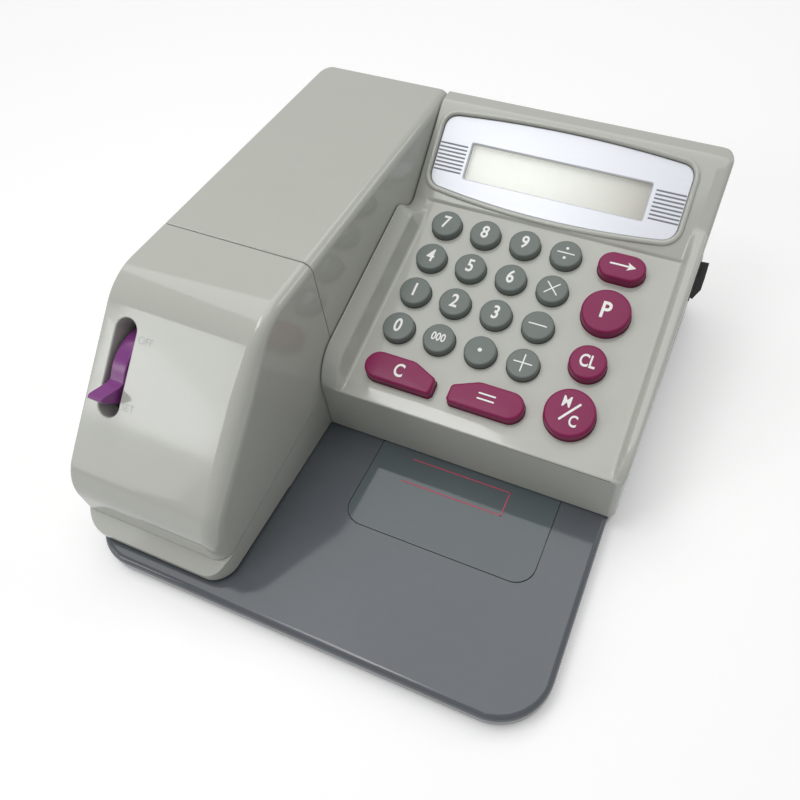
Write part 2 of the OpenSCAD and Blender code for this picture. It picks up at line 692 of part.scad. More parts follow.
// ---- lever ----
lever_rest = 24;
lever_tab_tip = 3.6;
lever_gap = 0.4;
lever_y = -lever_drop;
rib_t = 1.6;
lever_x0 = lever_inset - lever_w / 2;
lever_x1 = lever_inset + lever_w / 2;
lever_boss_r = lever_axle_d / 2 + 2;
// Frame on the leaning face: X along the arm's width, Y up the slope, Z outwards
module on_nose() translate([x_arm0, nose_top[0], nose_top[1]]) rotate([nose_angle, 0, 0]) children();
module across(x0, x1, r) translate([x0, 0, 0]) rotate([0, 90, 0]) cylinder(r = r, h = x1 - x0);

module arm_front_cover() color("lightgray") difference() {
    union() {
        difference() {
            front_block(0);
            front_block(wall);
        }
        // rib and boss that hold the lever's axle
        intersection() {
            front_block(0.5);
            on_nose() translate([0, lever_y, -lever_depth]) {
                translate([lever_x1 + lever_gap, -lever_boss_r, 0])
                    cube([rib_t, 2 * lever_boss_r, lever_depth]);
                across(lever_x1 + lever_gap, lever_x1 + lever_gap + rib_t, lever_boss_r);
                across(0, lever_x0 - lever_gap, lever_boss_r);
            }
        }
    }
    on_nose() translate([lever_inset, lever_y, -wall * 2]) rotate([0, 0, 90])
        linear_extrude(wall * 4) capsule(lever_slot_len, lever_slot_w);
    on_nose() translate([0, lever_y, -lever_depth])
        across(wall + 0.6, lever_x1 + 10, lever_axle_d / 2 + axle_fit);
}
axle_fit = 0.02;
module lever_axle() color("silver") on_nose() translate([0, lever_y, -lever_depth])
    across(wall + 0.8, lever_x1 + lever_gap + rib_t, lever_axle_d / 2);
// Point at distance r from the axle, turned down the slope by a
function turned(r, a) = r * [-sin(a), cos(a)];
// Side outline of the finger tab: broad on the disc, narrow and rounded at its tip
function tab_side() =
    let (tip = lever_depth + lever_tab_out, root = lever_rest + lever_tab_tip - lever_tab_spread / 2,
         crest = lever_r + 0.45 * (tip - lever_r))
    [turned(lever_r - 2, root), turned(lever_r - 0.1, root), turned(lever_r + 2, root + lever_tab_tip),
     turned(tip - 1.2, lever_rest - lever_tab_tip), turned(tip - 0.3, lever_rest - lever_tab_tip / 2),
     turned(tip, lever_rest), turned(tip - 0.2, lever_rest + lever_tab_tip / 3),
     turned(tip - 1, lever_rest + lever_tab_tip / 2), turned(crest, lever_rest + lever_tab_spread / 3),
     turned(lever_r + 1.6, root + 0.8 * lever_tab_spread), turned(lever_r - 0.1, root + lever_tab_spread),
     turned(lever_r - 2, root + lever_tab_spread)];
module lever() color("purple") on_nose() translate([0, lever_y, -lever_depth]) difference() {
    union() {
        across(lever_x0, lever_x1, lever_r);
        along_x(lever_x0, lever_w) polygon(tab_side());
    }
    across(0, lever_x1 + 10, lever_axle_d / 2 + axle_clear);
}

// ---- print mechanism places ----
gear_x = x_arm1 - wall - 2 - gear_w;
plate_gap = 0.8;
plate_r = gear_x - plate_gap - plate_t;
plate_l = x_arm0 + lever_x1 + lever_gap + rib_t + 0.9;
plates_mid = (plate_l + plate_t + plate_r) / 2;
inner_span = plate_r - plate_l - plate_t;
ink_axle_r = 1.5;
roller_len = inner_span - 8;
function angle_to(p, q) = atan2(q[1] - p[1], q[0] - p[0]);

module about(c) translate([0, c[0], c[1]]) children();

// ---- jaw ----
floor_t = 2;
tongue = 6;
window_side = 2;
step_y = y_jaw + throat_len;
jaw_nose_r = 1;
module jaw_profile() polygon(concat(
    [[y_seam + tongue, z_tray], [y_house, z_tray], [y_house, z_tray + slot_h], [step_y, z_tray + slot_h],
     [step_y - 2, z_tray + slot_h + throat_step]],
    arc([y_jaw + jaw_nose_r, z_tray + throat_h + jaw_nose_r], jaw_nose_r, 270, 180, 5),
    [[y_jaw, z_tray + jaw_front_h], [y_cover, seam_z(y_cover)],
     [y_seam - shell_gap / 2, seam_z(y_seam)], [y_seam - shell_gap / 2, z_tray + slot_h + floor_t], [y_seam + tongue, z_tray + slot_h + floor_t]]));
module jaw_plan(d) polygon(concat(
    [[x_arm0 + d, y_seam + tongue + 1]],
    arc([x_arm0 + jaw_front_r + d, y_jaw + jaw_front_r + d], jaw_front_r, 180, 270, 14),
    arc([x_arm1 - jaw_front_r - d, y_jaw + jaw_front_r + d], jaw_front_r, 270, 360, 14),
    [[x_arm1 - d, y_seam + tongue + 1]]));
module arm_lower_jaw() color("gainsboro") difference() {
    union() {
        difference() {
            intersection() {
                along_x(x_arm0, arm_w) jaw_profile();
                linear_extrude(z_top) jaw_plan(0);
            }
            // hollow above the floor
            intersection() {
                along_x(x_arm0, arm_w) polygon([
                    [y_seam + tongue + 1, z_tray + slot_h + floor_t],
                    [step_y - 2, z_tray + slot_h + floor_t],
                    [step_y - 3, z_tray + slot_h + throat_step + floor_t],
                    [y_cover + wall, z_tray + throat_h + floor_t],
                    [y_cover + wall, z_top], [y_seam + tongue + 1, z_top]]);
                linear_extrude(z_top) jaw_plan(wall);
            }
            // the tongue fits inside the rear cover
            for (x = [x_arm0 - 1, x_arm1 - wall - shell_gap])
                translate([x, y_seam - shell_gap / 2, z_tray - 1])
                    cube([wall + shell_gap + 1, tongue + 2, z_top]);
        }
        for (p = jaw_screws) translate([p[0], p[1], z_tray]) cylinder(r = boss_r, h = boss_h - 2);
    }
    // windows in the floor for the print wheel and the feed roller, with their gears
    for (w = [[axle_w[0], wheel_r], [axle_f[0], feed_r]])
        translate([plates_mid - roller_len / 2 - window_side, w[0] - w[1] - 1.5, z_tray - 1])
            cube([gear_x + gear_w + 0.6 - plates_mid + roller_len / 2 + window_side, 2 * w[1] + 3,
                  throat_h + floor_t + 3]);
    for (p = jaw_screws) translate([p[0], p[1], z_tray - 1]) cylinder(d = screw_d + 0.1, h = screw_len);
}

// ---- print mechanism ----
plate_foot = z_tray + slot_h + floor_t;
plate_margin = 7;
plate_shoulder = 9;
plate_front = axle_w[0] - plate_margin;
plate_back = y_seam - plate_margin;
plate_top = axle_p[1] + motor_r + 2;
module side_plate(x) along_x(x, plate_t) polygon([
    [step_y + 1, plate_foot], [plate_back, plate_foot], [plate_back, plate_top], [axle_k[0] - 2, plate_top],
    [plate_front, axle_w[1] + plate_shoulder], [plate_front, z_tray + throat_h + floor_t + 2.5],
    [step_y + 1, z_tray + throat_h + floor_t + 2.5]]);
module print_frame() color("silver") difference() {
    union() {
        side_plate(plate_l);
        side_plate(plate_r);
        translate([plate_l, plate_back - plate_t, plate_foot])
            cube([plate_r + plate_t - plate_l, plate_t, plate_top - plate_foot]);
        // stud that carries the idler
        about(axle_i) across(plate_r + plate_t - eps, gear_x + gear_w + 0.6, axle_d / 2);
    }
    about(axle_w) across(plate_l - 1, plate_r + plate_t + 1, axle_d / 2 + axle_clear);
    about(axle_f) across(plate_l - 1, plate_r + plate_t + 1, axle_d / 2 + axle_clear);
    about(axle_k) across(plate_l - 1, plate_r + plate_t + 1, ink_axle_r + axle_fit);
    about(axle_p) across(plate_r - 1, plate_r + plate_t + 1, motor_shaft_r + 0.4);
}
motor_shaft_r = 1;

// Involute gear, pressure angle 25 degrees, with one tooth centred at the angle phase
pressure = 25;
tooth_top = 0.85;
tooth_root = 1.15;
tooth_play = 0.07;
function involute(rb, r) = sqrt(max(0, r * r / rb / rb - 1)) * 180 / PI - acos(min(1, rb / r));
module gear_outline(n, phase) {
    rp = gear_r(n);
    rb = rp * cos(pressure);
    ra = rp + tooth_top * gear_m;
    rr = rp - tooth_root * gear_m;
    low = max(rb, rr);
    flank = [for (i = [0:4]) low + (ra - low) * i / 4];
    function half_tooth(r) = 90 / n - tooth_play / rp * 180 / PI + involute(rb, rp) - involute(rb, r);
    polygon([for (t = [0:n - 1]) let (c = phase + t * 360 / n) each concat(
        [rr * [cos(c - half_tooth(low)), sin(c - half_tooth(low))]],
        [for (r = flank) r * [cos(c - half_tooth(r)), sin(c - half_tooth(r))]],
        [for (i = [4:-1:0]) flank[i] * [cos(c + half_tooth(flank[i])), sin(c + half_tooth(flank[i]))]],
        [rr * [cos(c + half_tooth(low)), sin(c + half_tooth(low))]])]);
}
// Phase of a gear with n teeth that meshes with the idler at angle a from it
function mate_phase(a, n) = a + 180 - 360 / n * (0.5 - a * idler_teeth / 360);
module gear(c, n, phase, bore) about(c) along_x(gear_x, gear_w) difference() {
    gear_outline(n, phase);
    circle(r = bore);
}
module wheel_gear() color("goldenrod")
    gear(axle_w, wheel_teeth, mate_phase(angle_to(axle_i, axle_w), wheel_teeth), axle_d / 2 + axle_fit);
module feed_gear() color("goldenrod")
    gear(axle_f, feed_teeth, mate_phase(angle_to(axle_i, axle_f), feed_teeth), axle_d / 2 + axle_fit);
module idler_gear() color("ivory") gear(axle_i, idler_teeth, 0, axle_d / 2 + axle_clear);
module motor_pinion() color("goldenrod") {
    about(axle_p) along_x(gear_x, gear_w) gear_outline(pinion_teeth,
        mate_phase(angle_to(axle_i, axle_p), pinion_teeth));
    about(axle_p) across(plate_r - motor_shaft_in, gear_x + eps, motor_shaft_r);
}
motor_shaft_in = 8;
module motor() color("dimgray") about(axle_p) difference() {
    across(plate_r - motor_len, plate_r, motor_r);
    across(plate_r - motor_shaft_in - 1, plate_r + 1, motor_shaft_r + axle_clear);
}
figure_count = 12;
figure_h = 1.2;
module print_wheel() color("darkslategray") about(axle_w) difference() {
    union() {
        across(plates_mid - wheel_w / 2, plates_mid + wheel_w / 2, wheel_r - figure_h);
        // raised blocks that carry the figures
        for (i = [0:figure_count - 1], k = [0:3]) rotate([i * 360 / figure_count, 0, 0])
            translate([plates_mid - wheel_w / 2 + 1 + k * wheel_w / 4, -1.5, wheel_r - figure_h - 1])
                cube([wheel_w / 4 - 2, 3, figure_h + 0.9]);
    }
    across(plates_mid - wheel_w, plates_mid + wheel_w, axle_d / 2 + axle_fit);
}
module print_shaft() color("silver") about(axle_w)
    across(plate_l - 0.6, gear_x + gear_w + 0.4, axle_d / 2);
module ink_roller() color("midnightblue") about(axle_k) difference() {
    across(plates_mid - roller_len / 2, plates_mid + roller_len / 2, ink_r);
    across(plates_mid - roller_len, plates_mid + roller_len, ink_axle_r + axle_clear);
}
module ink_shaft() color("silver") about(axle_k) across(plate_l - 0.5, plate_r + plate_t + 0.3, ink_axle_r);
module feed_roller() color("dimgray") about(axle_f) {
    across(plates_mid - roller_len / 2, plates_mid + roller_len / 2, feed_r);
    across(plate_l - 0.6, gear_x + gear_w + 0.4, axle_d / 2);
}
pinch_axle_r = 1;
pinch_block_t = 2;
pinch_half = roller_len / 2 + 0.4;
module pinch_roller() color("black") about(axle_n) {
    across(plates_mid - roller_len / 2, plates_mid + roller_len / 2, pinch_r);
    across(plates_mid - pinch_half - pinch_block_t, plates_mid + pinch_half + pinch_block_t, pinch_axle_r);
}

// ---- tray ----
box_y = y_seam + 12.3;
door_w = box_w + 1;
door_t = 2;
door_lap = 3;
door_z = z_tray - tray_skin - 0.2 - door_t;
rail_t = 1.6;
foot_boss = foot_d / 2 + 1;
screw_boss = screw_head_d / 2 + 1.6;
window_y0 = y_house - window_reach;
window_len = window_reach + 2;
window_x0 = x_arm1 + window_inset;
// Length of the front part of the tray that lies under the housing
tray_lap = 10;
// Half section of the tray's front part: width r, with its top edge rounded
module tray_rim(r) polygon(concat(
    [[0, foot_h], [r, foot_h]],
    arc([r - tray_edge_r, z_tray - tray_edge_r], tray_edge_r, 0, 90),
    [[0, z_tray]]));
// Front part of the tray, with round corners and a rounded top edge on three sides
module tray_front() translate([x_arm0 + tray_w / 2, y_front + tray_corner_r, 0]) {
    run = tray_w / 2 - tray_corner_r;
    reach = tray_reach + tray_lap - tray_corner_r;
    for (side = [0, 1]) mirror([side, 0, 0]) {
        translate([run, 0, 0]) rotate([0, 0, 270]) rotate_extrude(angle = 90) tray_rim(tray_corner_r);
        translate([run, reach, 0]) rotate([90, 0, 0]) linear_extrude(reach) tray_rim(tray_corner_r);
    }
    mirror([0, 1, 0]) along_x(-run, 2 * run) tray_rim(tray_corner_r);
    translate([-run, 0, foot_h]) cube([2 * run, reach, tray_t]);
}

module tray_plan(d) union() {
    polygon(concat(
        arc([x_arm0 + tray_corner_r, y_front + tray_corner_r], tray_corner_r - d, 180, 270, 16),
        arc([x_arm0 + tray_w - tray_corner_r, y_front + tray_corner_r], tray_corner_r - d, 270, 360, 16),
        [[x_arm0 + tray_w - d, y_house + tray_lap], [x_arm0 + d, y_house + tray_lap]]));
    back_plan(d);
}
module back_plan(d) polygon(concat(
    [[x_arm0 + d, y_house + d], [x_h1 - house_taper - d, y_house + d]],
    arc([x_h1 - house_back_r, y_back - house_back_r], house_back_r - d, 0, 90),
    arc([x_arm0 + arm_back_r, y_back - arm_back_r], arm_back_r - d, 90, 180)));
module base_tray() color("slategray") difference() {
    union() {
        difference() {
            union() {
                tray_front();
                translate([0, 0, foot_h]) linear_extrude(tray_t) back_plan(0);
            }
            translate([0, 0, foot_h - 1]) linear_extrude(tray_t - tray_skin + 1) tray_plan(wall);
        }
        for (p = feet) translate([p[0], p[1], foot_h]) cylinder(r = foot_boss, h = tray_t - tray_skin / 2);
        for (p = all_screws)
            translate([p[0], p[1], foot_h]) cylinder(r = screw_boss, h = tray_t - tray_skin / 2);
        // rails of the battery door
        for (side = [-1, 1]) translate([x_mid + side * (door_w / 2 + 0.3 + rail_t / 2) - rail_t / 2,
            box_y - door_lap, foot_h + 0.4]) {
            cube([rail_t, box_len + 2 * door_lap, tray_t - tray_skin]);
            translate([side < 0 ? 0 : -rail_t, 0, 0])
                cube([2 * rail_t, box_len + 2 * door_lap, door_z - foot_h - 0.7]);
        }
        // bearings of the pinch roller
        for (x = [plates_mid - pinch_half - pinch_block_t, plates_mid + pinch_half])
            translate([x, axle_n[0] - 4, foot_h + 0.6]) cube([pinch_block_t, 8, tray_t - tray_skin]);
    }
    // recess of the guide window
    translate([window_x0, window_y0, z_tray - window_t]) linear_extrude(window_t + 1) window_plan(0.2);
    // battery opening
    translate([x_mid - box_w / 2 + box_wall, box_y + box_wall, 0])
        cube([box_w - 2 * box_wall, box_len - 2 * box_wall, z_top]);
    // slot for the pinch roller
    translate([plates_mid - pinch_half, axle_n[0] - pinch_r - 0.5, 0])
        cube([2 * pinch_half, 2 * pinch_r + 1, z_top]);
    about(axle_n) across(plates_mid - roller_len, plates_mid + roller_len, pinch_axle_r + axle_clear);
    for (p = feet) translate([p[0], p[1], foot_h - 1]) cylinder(d = foot_peg_d + 0.1, h = foot_peg_h + 1.2);
    for (p = all_screws) translate([p[0], p[1], 0]) {
        cylinder(d = screw_d + 0.1, h = z_top);
        cylinder(d = screw_head_d + 0.2, h = foot_h + 0.2 + screw_head_h);
    }
}
module window_plan(g) {
    r = window_corner_r;
    translate([-g, -g]) union() {
        translate([0, r]) square([window_w + 2 * g, window_len + g - r]);
        translate([r, 0]) square([window_w + 2 * g - 2 * r, r + 1]);
        for (x = [r, window_w + 2 * g - r]) translate([x, r]) circle(r);
    }
}
module guide_window() color("lightsteelblue") translate([window_x0, window_y0, z_tray - window_t])
    linear_extrude(window_t) window_plan(0);
module rubber_feet() color("dimgray") for (p = feet) translate([p[0], p[1], 0]) {
    cylinder(d = foot_d, h = foot_h);
    translate([0, 0, foot_h - eps]) cylinder(d = foot_peg_d, h = foot_peg_h);
}
module case_screws() color("silver") for (p = all_screws) translate([p[0], p[1], foot_h + 0.2]) {
    cylinder(d = screw_head_d, h = screw_head_h);
    cylinder(d = screw_d, h = screw_head_h + screw_len);
}

// ---- battery box ----
box_wall = 1.5;
module battery_box() color("gray") translate([x_mid - box_w / 2, box_y, z_tray]) difference() {
    cube([box_w, box_len, battery_box_h]);
    translate([box_wall, box_wall, -1])
        cube([box_w - 2 * box_wall, box_len - 2 * box_wall, battery_box_h + 1 - box_wall]);
}
contact_t = 0.4;
contact_w = 9;
cell_rows = 3;
module battery_contacts() color("silver") for (i = [0:cell_rows - 1], end = [0, 1]) {
    x = x_mid - box_w / 2 + box_w * (i + 0.5) / cell_rows;
    translate([x - contact_w / 2, end == 0 ? box_y + box_wall : box_y + box_len - box_wall - contact_t,
        z_tray + battery_box_h / 2 - contact_w / 2]) cube([contact_w, contact_t, contact_w]);
    translate([x, end == 0 ? box_y + box_wall : box_y + box_len - box_wall - 2, z_tray + battery_box_h / 2])
        rotate([-90, 0, 0]) cylinder(d = 4, h = 2);
}
module battery_door() color("dimgray") {
    translate([x_mid - door_w / 2, box_y - door_lap, door_z]) cube([door_w, box_len + 2 * door_lap, door_t]);
    for (i = [0:4]) translate([x_mid - 8, box_y + 4 + 3 * i, door_z - 0.8]) cube([16, 1.2, 0.81]);
}

// ---- switch and inlet ----
pivot_depth = 2;
rocker_half = switch_tall / 2 - 0.8;
rocker_ridge = (switch_out + pivot_depth) / cos(switch_swing / 2);
rocker_pin_r = 1.2;
rocker_pin_out = 0.55;
frame_wall = 0.7;
frame_depth = 8;
module at_switch() translate([switch_x - pivot_depth, switch_y, switch_z]) children();
module along_y(w) rotate([90, 0, 0]) translate([0, 0, -w / 2]) linear_extrude(w) children();
module rocker_switch() color("black") at_switch() rotate([0, switch_swing / 2, 0]) {
    along_y(switch_w - 0.8) polygon([[rocker_ridge, 0],
        [rocker_ridge - rocker_half * tan(switch_swing / 2), rocker_half],
        [-1.6, rocker_half - 1.6], [-1.6, 1.6 - rocker_half],
        [rocker_ridge - rocker_half * tan(switch_swing / 2), -rocker_half]]);
    rotate([90, 0, 0]) translate([0, 0, -switch_w / 2 - rocker_pin_out])
        cylinder(r = rocker_pin_r, h = switch_w + 2 * rocker_pin_out);
}
module switch_frame() color("dimgray") at_switch() difference() {
    translate([pivot_depth - frame_depth, -switch_w / 2 - frame_wall, -switch_tall / 2 - frame_wall])
        cube([frame_depth + 0.3, switch_w + 2 * frame_wall, switch_tall + 2 * frame_wall]);
    translate([pivot_depth - frame_depth + 1.2, -switch_w / 2, -switch_tall / 2])
        cube([frame_depth + 2, switch_w, switch_tall]);
    rotate([90, 0, 0]) translate([0, 0, -switch_w])
        cylinder(r = rocker_pin_r + axle_clear, h = 2 * switch_w);
}
jack_plug_d = 5.5;
module dc_jack() color("black") translate([jack_x, y_back, jack_z]) rotate([90, 0, 0]) {
    difference() {
        union() {
            cylinder(d = jack_d, h = 13);
            translate([0, 0, wall]) cylinder(d = jack_d + 3, h = 2);
        }
        translate([0, 0, -1]) cylinder(d = jack_plug_d, h = 10);
    }
    cylinder(d = 2, h = 10);
}

// ---- keys by name ----
module key_0() small_key(0);
module key_000() small_key(1);
module key_point() small_key(2);
module key_plus() small_key(3);
module key_1() small_key(4);
module key_2() small_key(5);
module key_3() small_key(6);
module key_minus() small_key(7);
module key_4() small_key(8);
module key_5() small_key(9);
module key_6() small_key(10);
module key_times() small_key(11);
module key_7() small_key(12);
module key_8() small_key(13);
module key_9() small_key(14);
module key_divide() small_key(15);
module key_clear() wide_purple(0);
module key_equals() wide_purple(1);
module key_memory() purple_round(0, round_key_d);
module key_correct() purple_round(1, clear_key_d);
module key_print() purple_round(2, round_key_d);

base_tray();
guide_window();
keypad_housing();
arm_rear_cover();
arm_front_cover();
arm_lower_jaw();
lever();
lever_axle();
display_bezel();
display_lens();
lcd_module();
key_mat();
main_board();
switch_frame();
rocker_switch();
dc_jack();
battery_box();
battery_contacts();
battery_door();
rubber_feet();
case_screws();
print_frame();
print_wheel();
print_shaft();
wheel_gear();
ink_roller();
ink_shaft();
feed_roller();
feed_gear();
idler_gear();
motor();
motor_pinion();
pinch_roller();
key_0();
key_000();
key_point();
key_plus();
key_1();
key_2();
key_3();
key_minus();
key_4();
key_5();
key_6();
key_times();
key_7();
key_8();
key_9();
key_divide();
key_clear();
key_equals();
key_memory();
key_correct();
key_print();
key_arrow();
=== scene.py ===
"""Desk check writer, dressed for rendering around its packed construction model.

The shells are worked out as grids with numpy: a side profile carried across the arm, cross-sections
carried along the keypad housing, and flat outlines raised into keys, plates and pads. Sizes are
millimetres in this file and become metres when a mesh is made.
"""

import json
import logging
import math
from collections.abc import Callable
from dataclasses import dataclass, field
from enum import Enum

import bmesh
import bpy
import numpy as np
from mathutils import Matrix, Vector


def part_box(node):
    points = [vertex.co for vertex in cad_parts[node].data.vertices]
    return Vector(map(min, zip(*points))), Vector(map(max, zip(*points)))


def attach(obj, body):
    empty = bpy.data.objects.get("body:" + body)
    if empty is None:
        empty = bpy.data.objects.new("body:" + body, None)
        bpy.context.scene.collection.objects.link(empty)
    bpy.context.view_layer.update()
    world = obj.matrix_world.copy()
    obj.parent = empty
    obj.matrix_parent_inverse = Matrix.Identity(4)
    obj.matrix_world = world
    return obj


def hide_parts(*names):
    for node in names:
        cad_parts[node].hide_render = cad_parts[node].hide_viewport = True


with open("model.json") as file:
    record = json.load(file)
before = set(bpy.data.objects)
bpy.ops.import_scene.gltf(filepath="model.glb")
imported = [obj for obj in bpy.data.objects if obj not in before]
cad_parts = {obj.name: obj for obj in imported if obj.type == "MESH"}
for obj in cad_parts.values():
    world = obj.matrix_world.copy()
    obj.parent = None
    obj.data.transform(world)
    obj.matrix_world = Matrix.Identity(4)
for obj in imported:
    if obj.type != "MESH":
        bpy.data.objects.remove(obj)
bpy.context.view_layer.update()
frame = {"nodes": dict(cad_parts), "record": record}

LOG = logging.getLogger("check_writer")
MM = 0.001


# ---------------------------------------------------------------------------------------------
# places taken from the frame
# ---------------------------------------------------------------------------------------------
def corners(node: str) -> tuple[np.ndarray, np.ndarray]:
    """Lowest and highest corner of a construction node, in millimetres.

    Args:
        node: name of the node.
    Returns:
        The two corners.
    """
    low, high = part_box(node)
    return np.array(low) / MM, np.array(high) / MM


@dataclass(frozen=True)
class Layout:
    """Main planes of the machine in millimetres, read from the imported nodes."""

    wall: float = 2.4
    front_wall: float = 26.5
    panel_len: float = 95.4
    display_step: float = 0.9
    display_slope: float = math.radians(38)
    nose_slope: float = math.radians(40.6)
    nose_start: float = 28.7
    arm: tuple = field(default_factory=lambda: corners("arm_rear_cover"))
    cover: tuple = field(default_factory=lambda: corners("arm_front_cover"))
    house: tuple = field(default_factory=lambda: corners("keypad_housing"))
    tray: tuple = field(default_factory=lambda: corners("base_tray"))
    press_axis: tuple = field(default_factory=lambda: joint_axis("key_0_press"))

    @property
    def tray_top(self) -> float:
        """Height of the tray's upper face."""
        return float(self.tray[1][2])

    @property
    def top(self) -> float:
        """Height of the arm's flat top."""
        return float(self.arm[1][2])

    @property
    def panel_slope(self) -> float:
        """Slope of the key panel, from the direction that its keys are pressed in."""
        return math.atan2(self.press_axis[1], -self.press_axis[2])

    @property
    def panel_foot(self) -> np.ndarray:
        """Front edge of the panel, as (y, z)."""
        return np.array([self.house[0][1], self.tray_top + self.front_wall])

    @property
    def display_foot(self) -> np.ndarray:
        """Lower edge of the display face, as (y, z)."""
        along = np.array([math.cos(self.panel_slope), math.sin(self.panel_slope)])
        return self.panel_foot + self.panel_len * along + np.array([0, self.display_step])

    @property
    def nose_top(self) -> np.ndarray:
        """Where the flat top would meet the leaning face, as (y, z)."""
        seam = (self.arm[0][1] + self.cover[1][1]) / 2
        return np.array([seam - self.nose_start, self.top])


def joint_axis(name: str) -> tuple:
    """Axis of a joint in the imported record.

    Args:
        name: the joint's name.
    Returns:
        Its axis as three numbers.
    """
    for joint in frame["record"]["behaviour"]["joints"]:
        if joint["name"] == name:
            return tuple(joint["axis"])
    raise KeyError(name)


def tilted(x0: float, foot: np.ndarray, slope: float) -> np.ndarray:
    """Frame that lies on a face sloping up to the back: X right, Y up the slope, Z outwards.

    Args:
        x0: origin along X.
        foot: origin as (y, z).
        slope: the face's slope in radians.
    Returns:
        A 4 by 4 matrix.
    """
    c, s = math.cos(slope), math.sin(slope)
    return np.array([[1, 0, 0, x0], [0, c, -s, foot[0]], [0, s, c, foot[1]], [0, 0, 0, 1.0]])


def across() -> np.ndarray:
    """Frame whose outline plane is (y, z) and whose height runs along X.

    Returns:
        A 4 by 4 matrix.
    """
    return np.array([[0, 0, 1, 0], [1, 0, 0, 0], [0, 1, 0, 0], [0, 0, 0, 1.0]])


def placed(points: np.ndarray, where: np.ndarray) -> np.ndarray:
    """Points carried by a 4 by 4 matrix.

    Args:
        points: array of shape (..., 3).
        where: the matrix.
    Returns:
        The moved points.
    """
    return points @ where[:3, :3].T + where[:3, 3]


# ---------------------------------------------------------------------------------------------
# outlines and meshes
# ---------------------------------------------------------------------------------------------
def arc(cx: float, cy: float, r: float, a0: float, a1: float, n: int = 12) -> np.ndarray:
    """Points c + r (cos t, sin t), with t from a0 to a1 in degrees.

    Args:
        cx, cy: centre.
        r: radius.
        a0, a1: first and last angle.
        n: number of steps.
    Returns:
        Array of n + 1 points.
    """
    t = np.radians(np.linspace(a0, a1, n + 1))
    return np.stack([cx + r * np.cos(t), cy + r * np.sin(t)], axis=1)


def ring(r: float, n: int = 64) -> np.ndarray:
    """Closed circle about the origin, without a repeated last point.

    Args:
        r: radius.
        n: number of points.
    Returns:
        The points.
    """
    return arc(0, 0, r, 0, 360, n)[:-1]


def box_outline(w: float, d: float, r: float, n: int = 8) -> np.ndarray:
    """Rectangle w by d about the origin with corners of radius r.

    Args:
        w, d: size.
        r: corner radius.
        n: steps in each corner.
    Returns:
        The points, anticlockwise.
    """
    a, b = w / 2 - r, d / 2 - r
    return np.concatenate([arc(a, b, r, 0, 90, n), arc(-a, b, r, 90, 180, n),
                           arc(-a, -b, r, 180, 270, n), arc(a, -b, r, 270, 360, n)])


def normals_of(outline: np.ndarray) -> np.ndarray:
    """Mitred inward directions of a closed anticlockwise outline.

    Each one is the sum of the two edge normals divided by 1 plus their dot product, so that an
    inset by d moves every edge by exactly d.

    Args:
        outline: the points.
    Returns:
        One direction for each point.
    """
    edge = np.roll(outline, -1, axis=0) - outline
    edge = edge / np.maximum(np.linalg.norm(edge, axis=1, keepdims=True), 1e-9)
    inward = np.stack([-edge[:, 1], edge[:, 0]], axis=1)
    before = np.roll(inward, 1, axis=0)
    dot = (inward * before).sum(axis=1, keepdims=True)
    return (inward + before) / np.maximum(1 + dot, 0.3)


def rounded_path(points: np.ndarray, radii: np.ndarray, n: int = 5) -> np.ndarray:
    """Rounds the inner corners of many open paths at once.

    Each corner p becomes the curve (1-t)^2 a + 2 t (1-t) p + t^2 b, where a and b lie on the two
    legs at r tan(turn / 2) from p, and at most 0.45 of a leg.

    Args:
        points: array (stations, corners, 2).
        radii: array (corners,) with the radius of each corner; the first and last stay sharp.
        n: steps in each corner.
    Returns:
        Array (stations, 2 + (corners - 2) * (n + 1), 2).
    """
    mid = points[:, 1:-1]
    back = points[:, :-2] - mid
    fore = points[:, 2:] - mid
    lb = np.linalg.norm(back, axis=2, keepdims=True)
    lf = np.linalg.norm(fore, axis=2, keepdims=True)
    ub, uf = back / np.maximum(lb, 1e-6), fore / np.maximum(lf, 1e-6)
    inner = np.arccos(np.clip((ub * uf).sum(axis=2, keepdims=True), -1, 1))
    lead = radii[None, 1:-1, None] * np.tan((np.pi - inner) / 2).clip(0, 4)
    lead = np.minimum(lead, 0.45 * np.minimum(lb, lf))
    a, b = mid + ub * lead, mid + uf * lead
    t = np.linspace(0, 1, n + 1)[None, None, :, None]
    curve = (1 - t) ** 2 * a[:, :, None] + 2 * t * (1 - t) * mid[:, :, None] + t ** 2 * b[:, :, None]
    flat = curve.reshape(points.shape[0], -1, 2)
    return np.concatenate([points[:, :1], flat, points[:, -1:]], axis=1)


def mesh_piece(name: str, verts: np.ndarray, faces: list,
               where: np.ndarray | None = None) -> bpy.types.Object:
    """Makes an object at the origin from millimetre points, with its faces pointing outwards.

    Args:
        name: the piece's name.
        verts: array (n, 3).
        faces: lists of vertex numbers.
        where: matrix that carries the points into place.
    Returns:
        The new object.
    """
    points = verts if where is None else placed(verts, where)
    mesh = bpy.data.meshes.new(name)
    mesh.from_pydata((points * MM).tolist(), [], [list(map(int, f)) for f in faces])
    work = bmesh.new()
    work.from_mesh(mesh)
    bmesh.ops.remove_doubles(work, verts=work.verts, dist=1e-7)
    bmesh.ops.recalc_face_normals(work, faces=work.faces)
    work.to_mesh(mesh)
    work.free()
    piece = bpy.data.objects.new(name, mesh)
    bpy.context.scene.collection.objects.link(piece)
    return piece


def grid_faces(rows: int, cols: int, wrap: bool) -> np.ndarray:
    """Quads of a grid whose points are numbered row by row.

    Args:
        rows, cols: number of points each way.
        wrap: whether the last column joins the first.
    Returns:
        Array (quads, 4).
    """
    r = np.arange(rows - 1)[:, None]
    c = np.arange(cols if wrap else cols - 1)[None, :]
    d = (c + 1) % cols
    return np.stack(np.broadcast_arrays(r * cols + c, r * cols + d, (r + 1) * cols + d, (r + 1) * cols + c),
                    axis=-1).reshape(-1, 4)


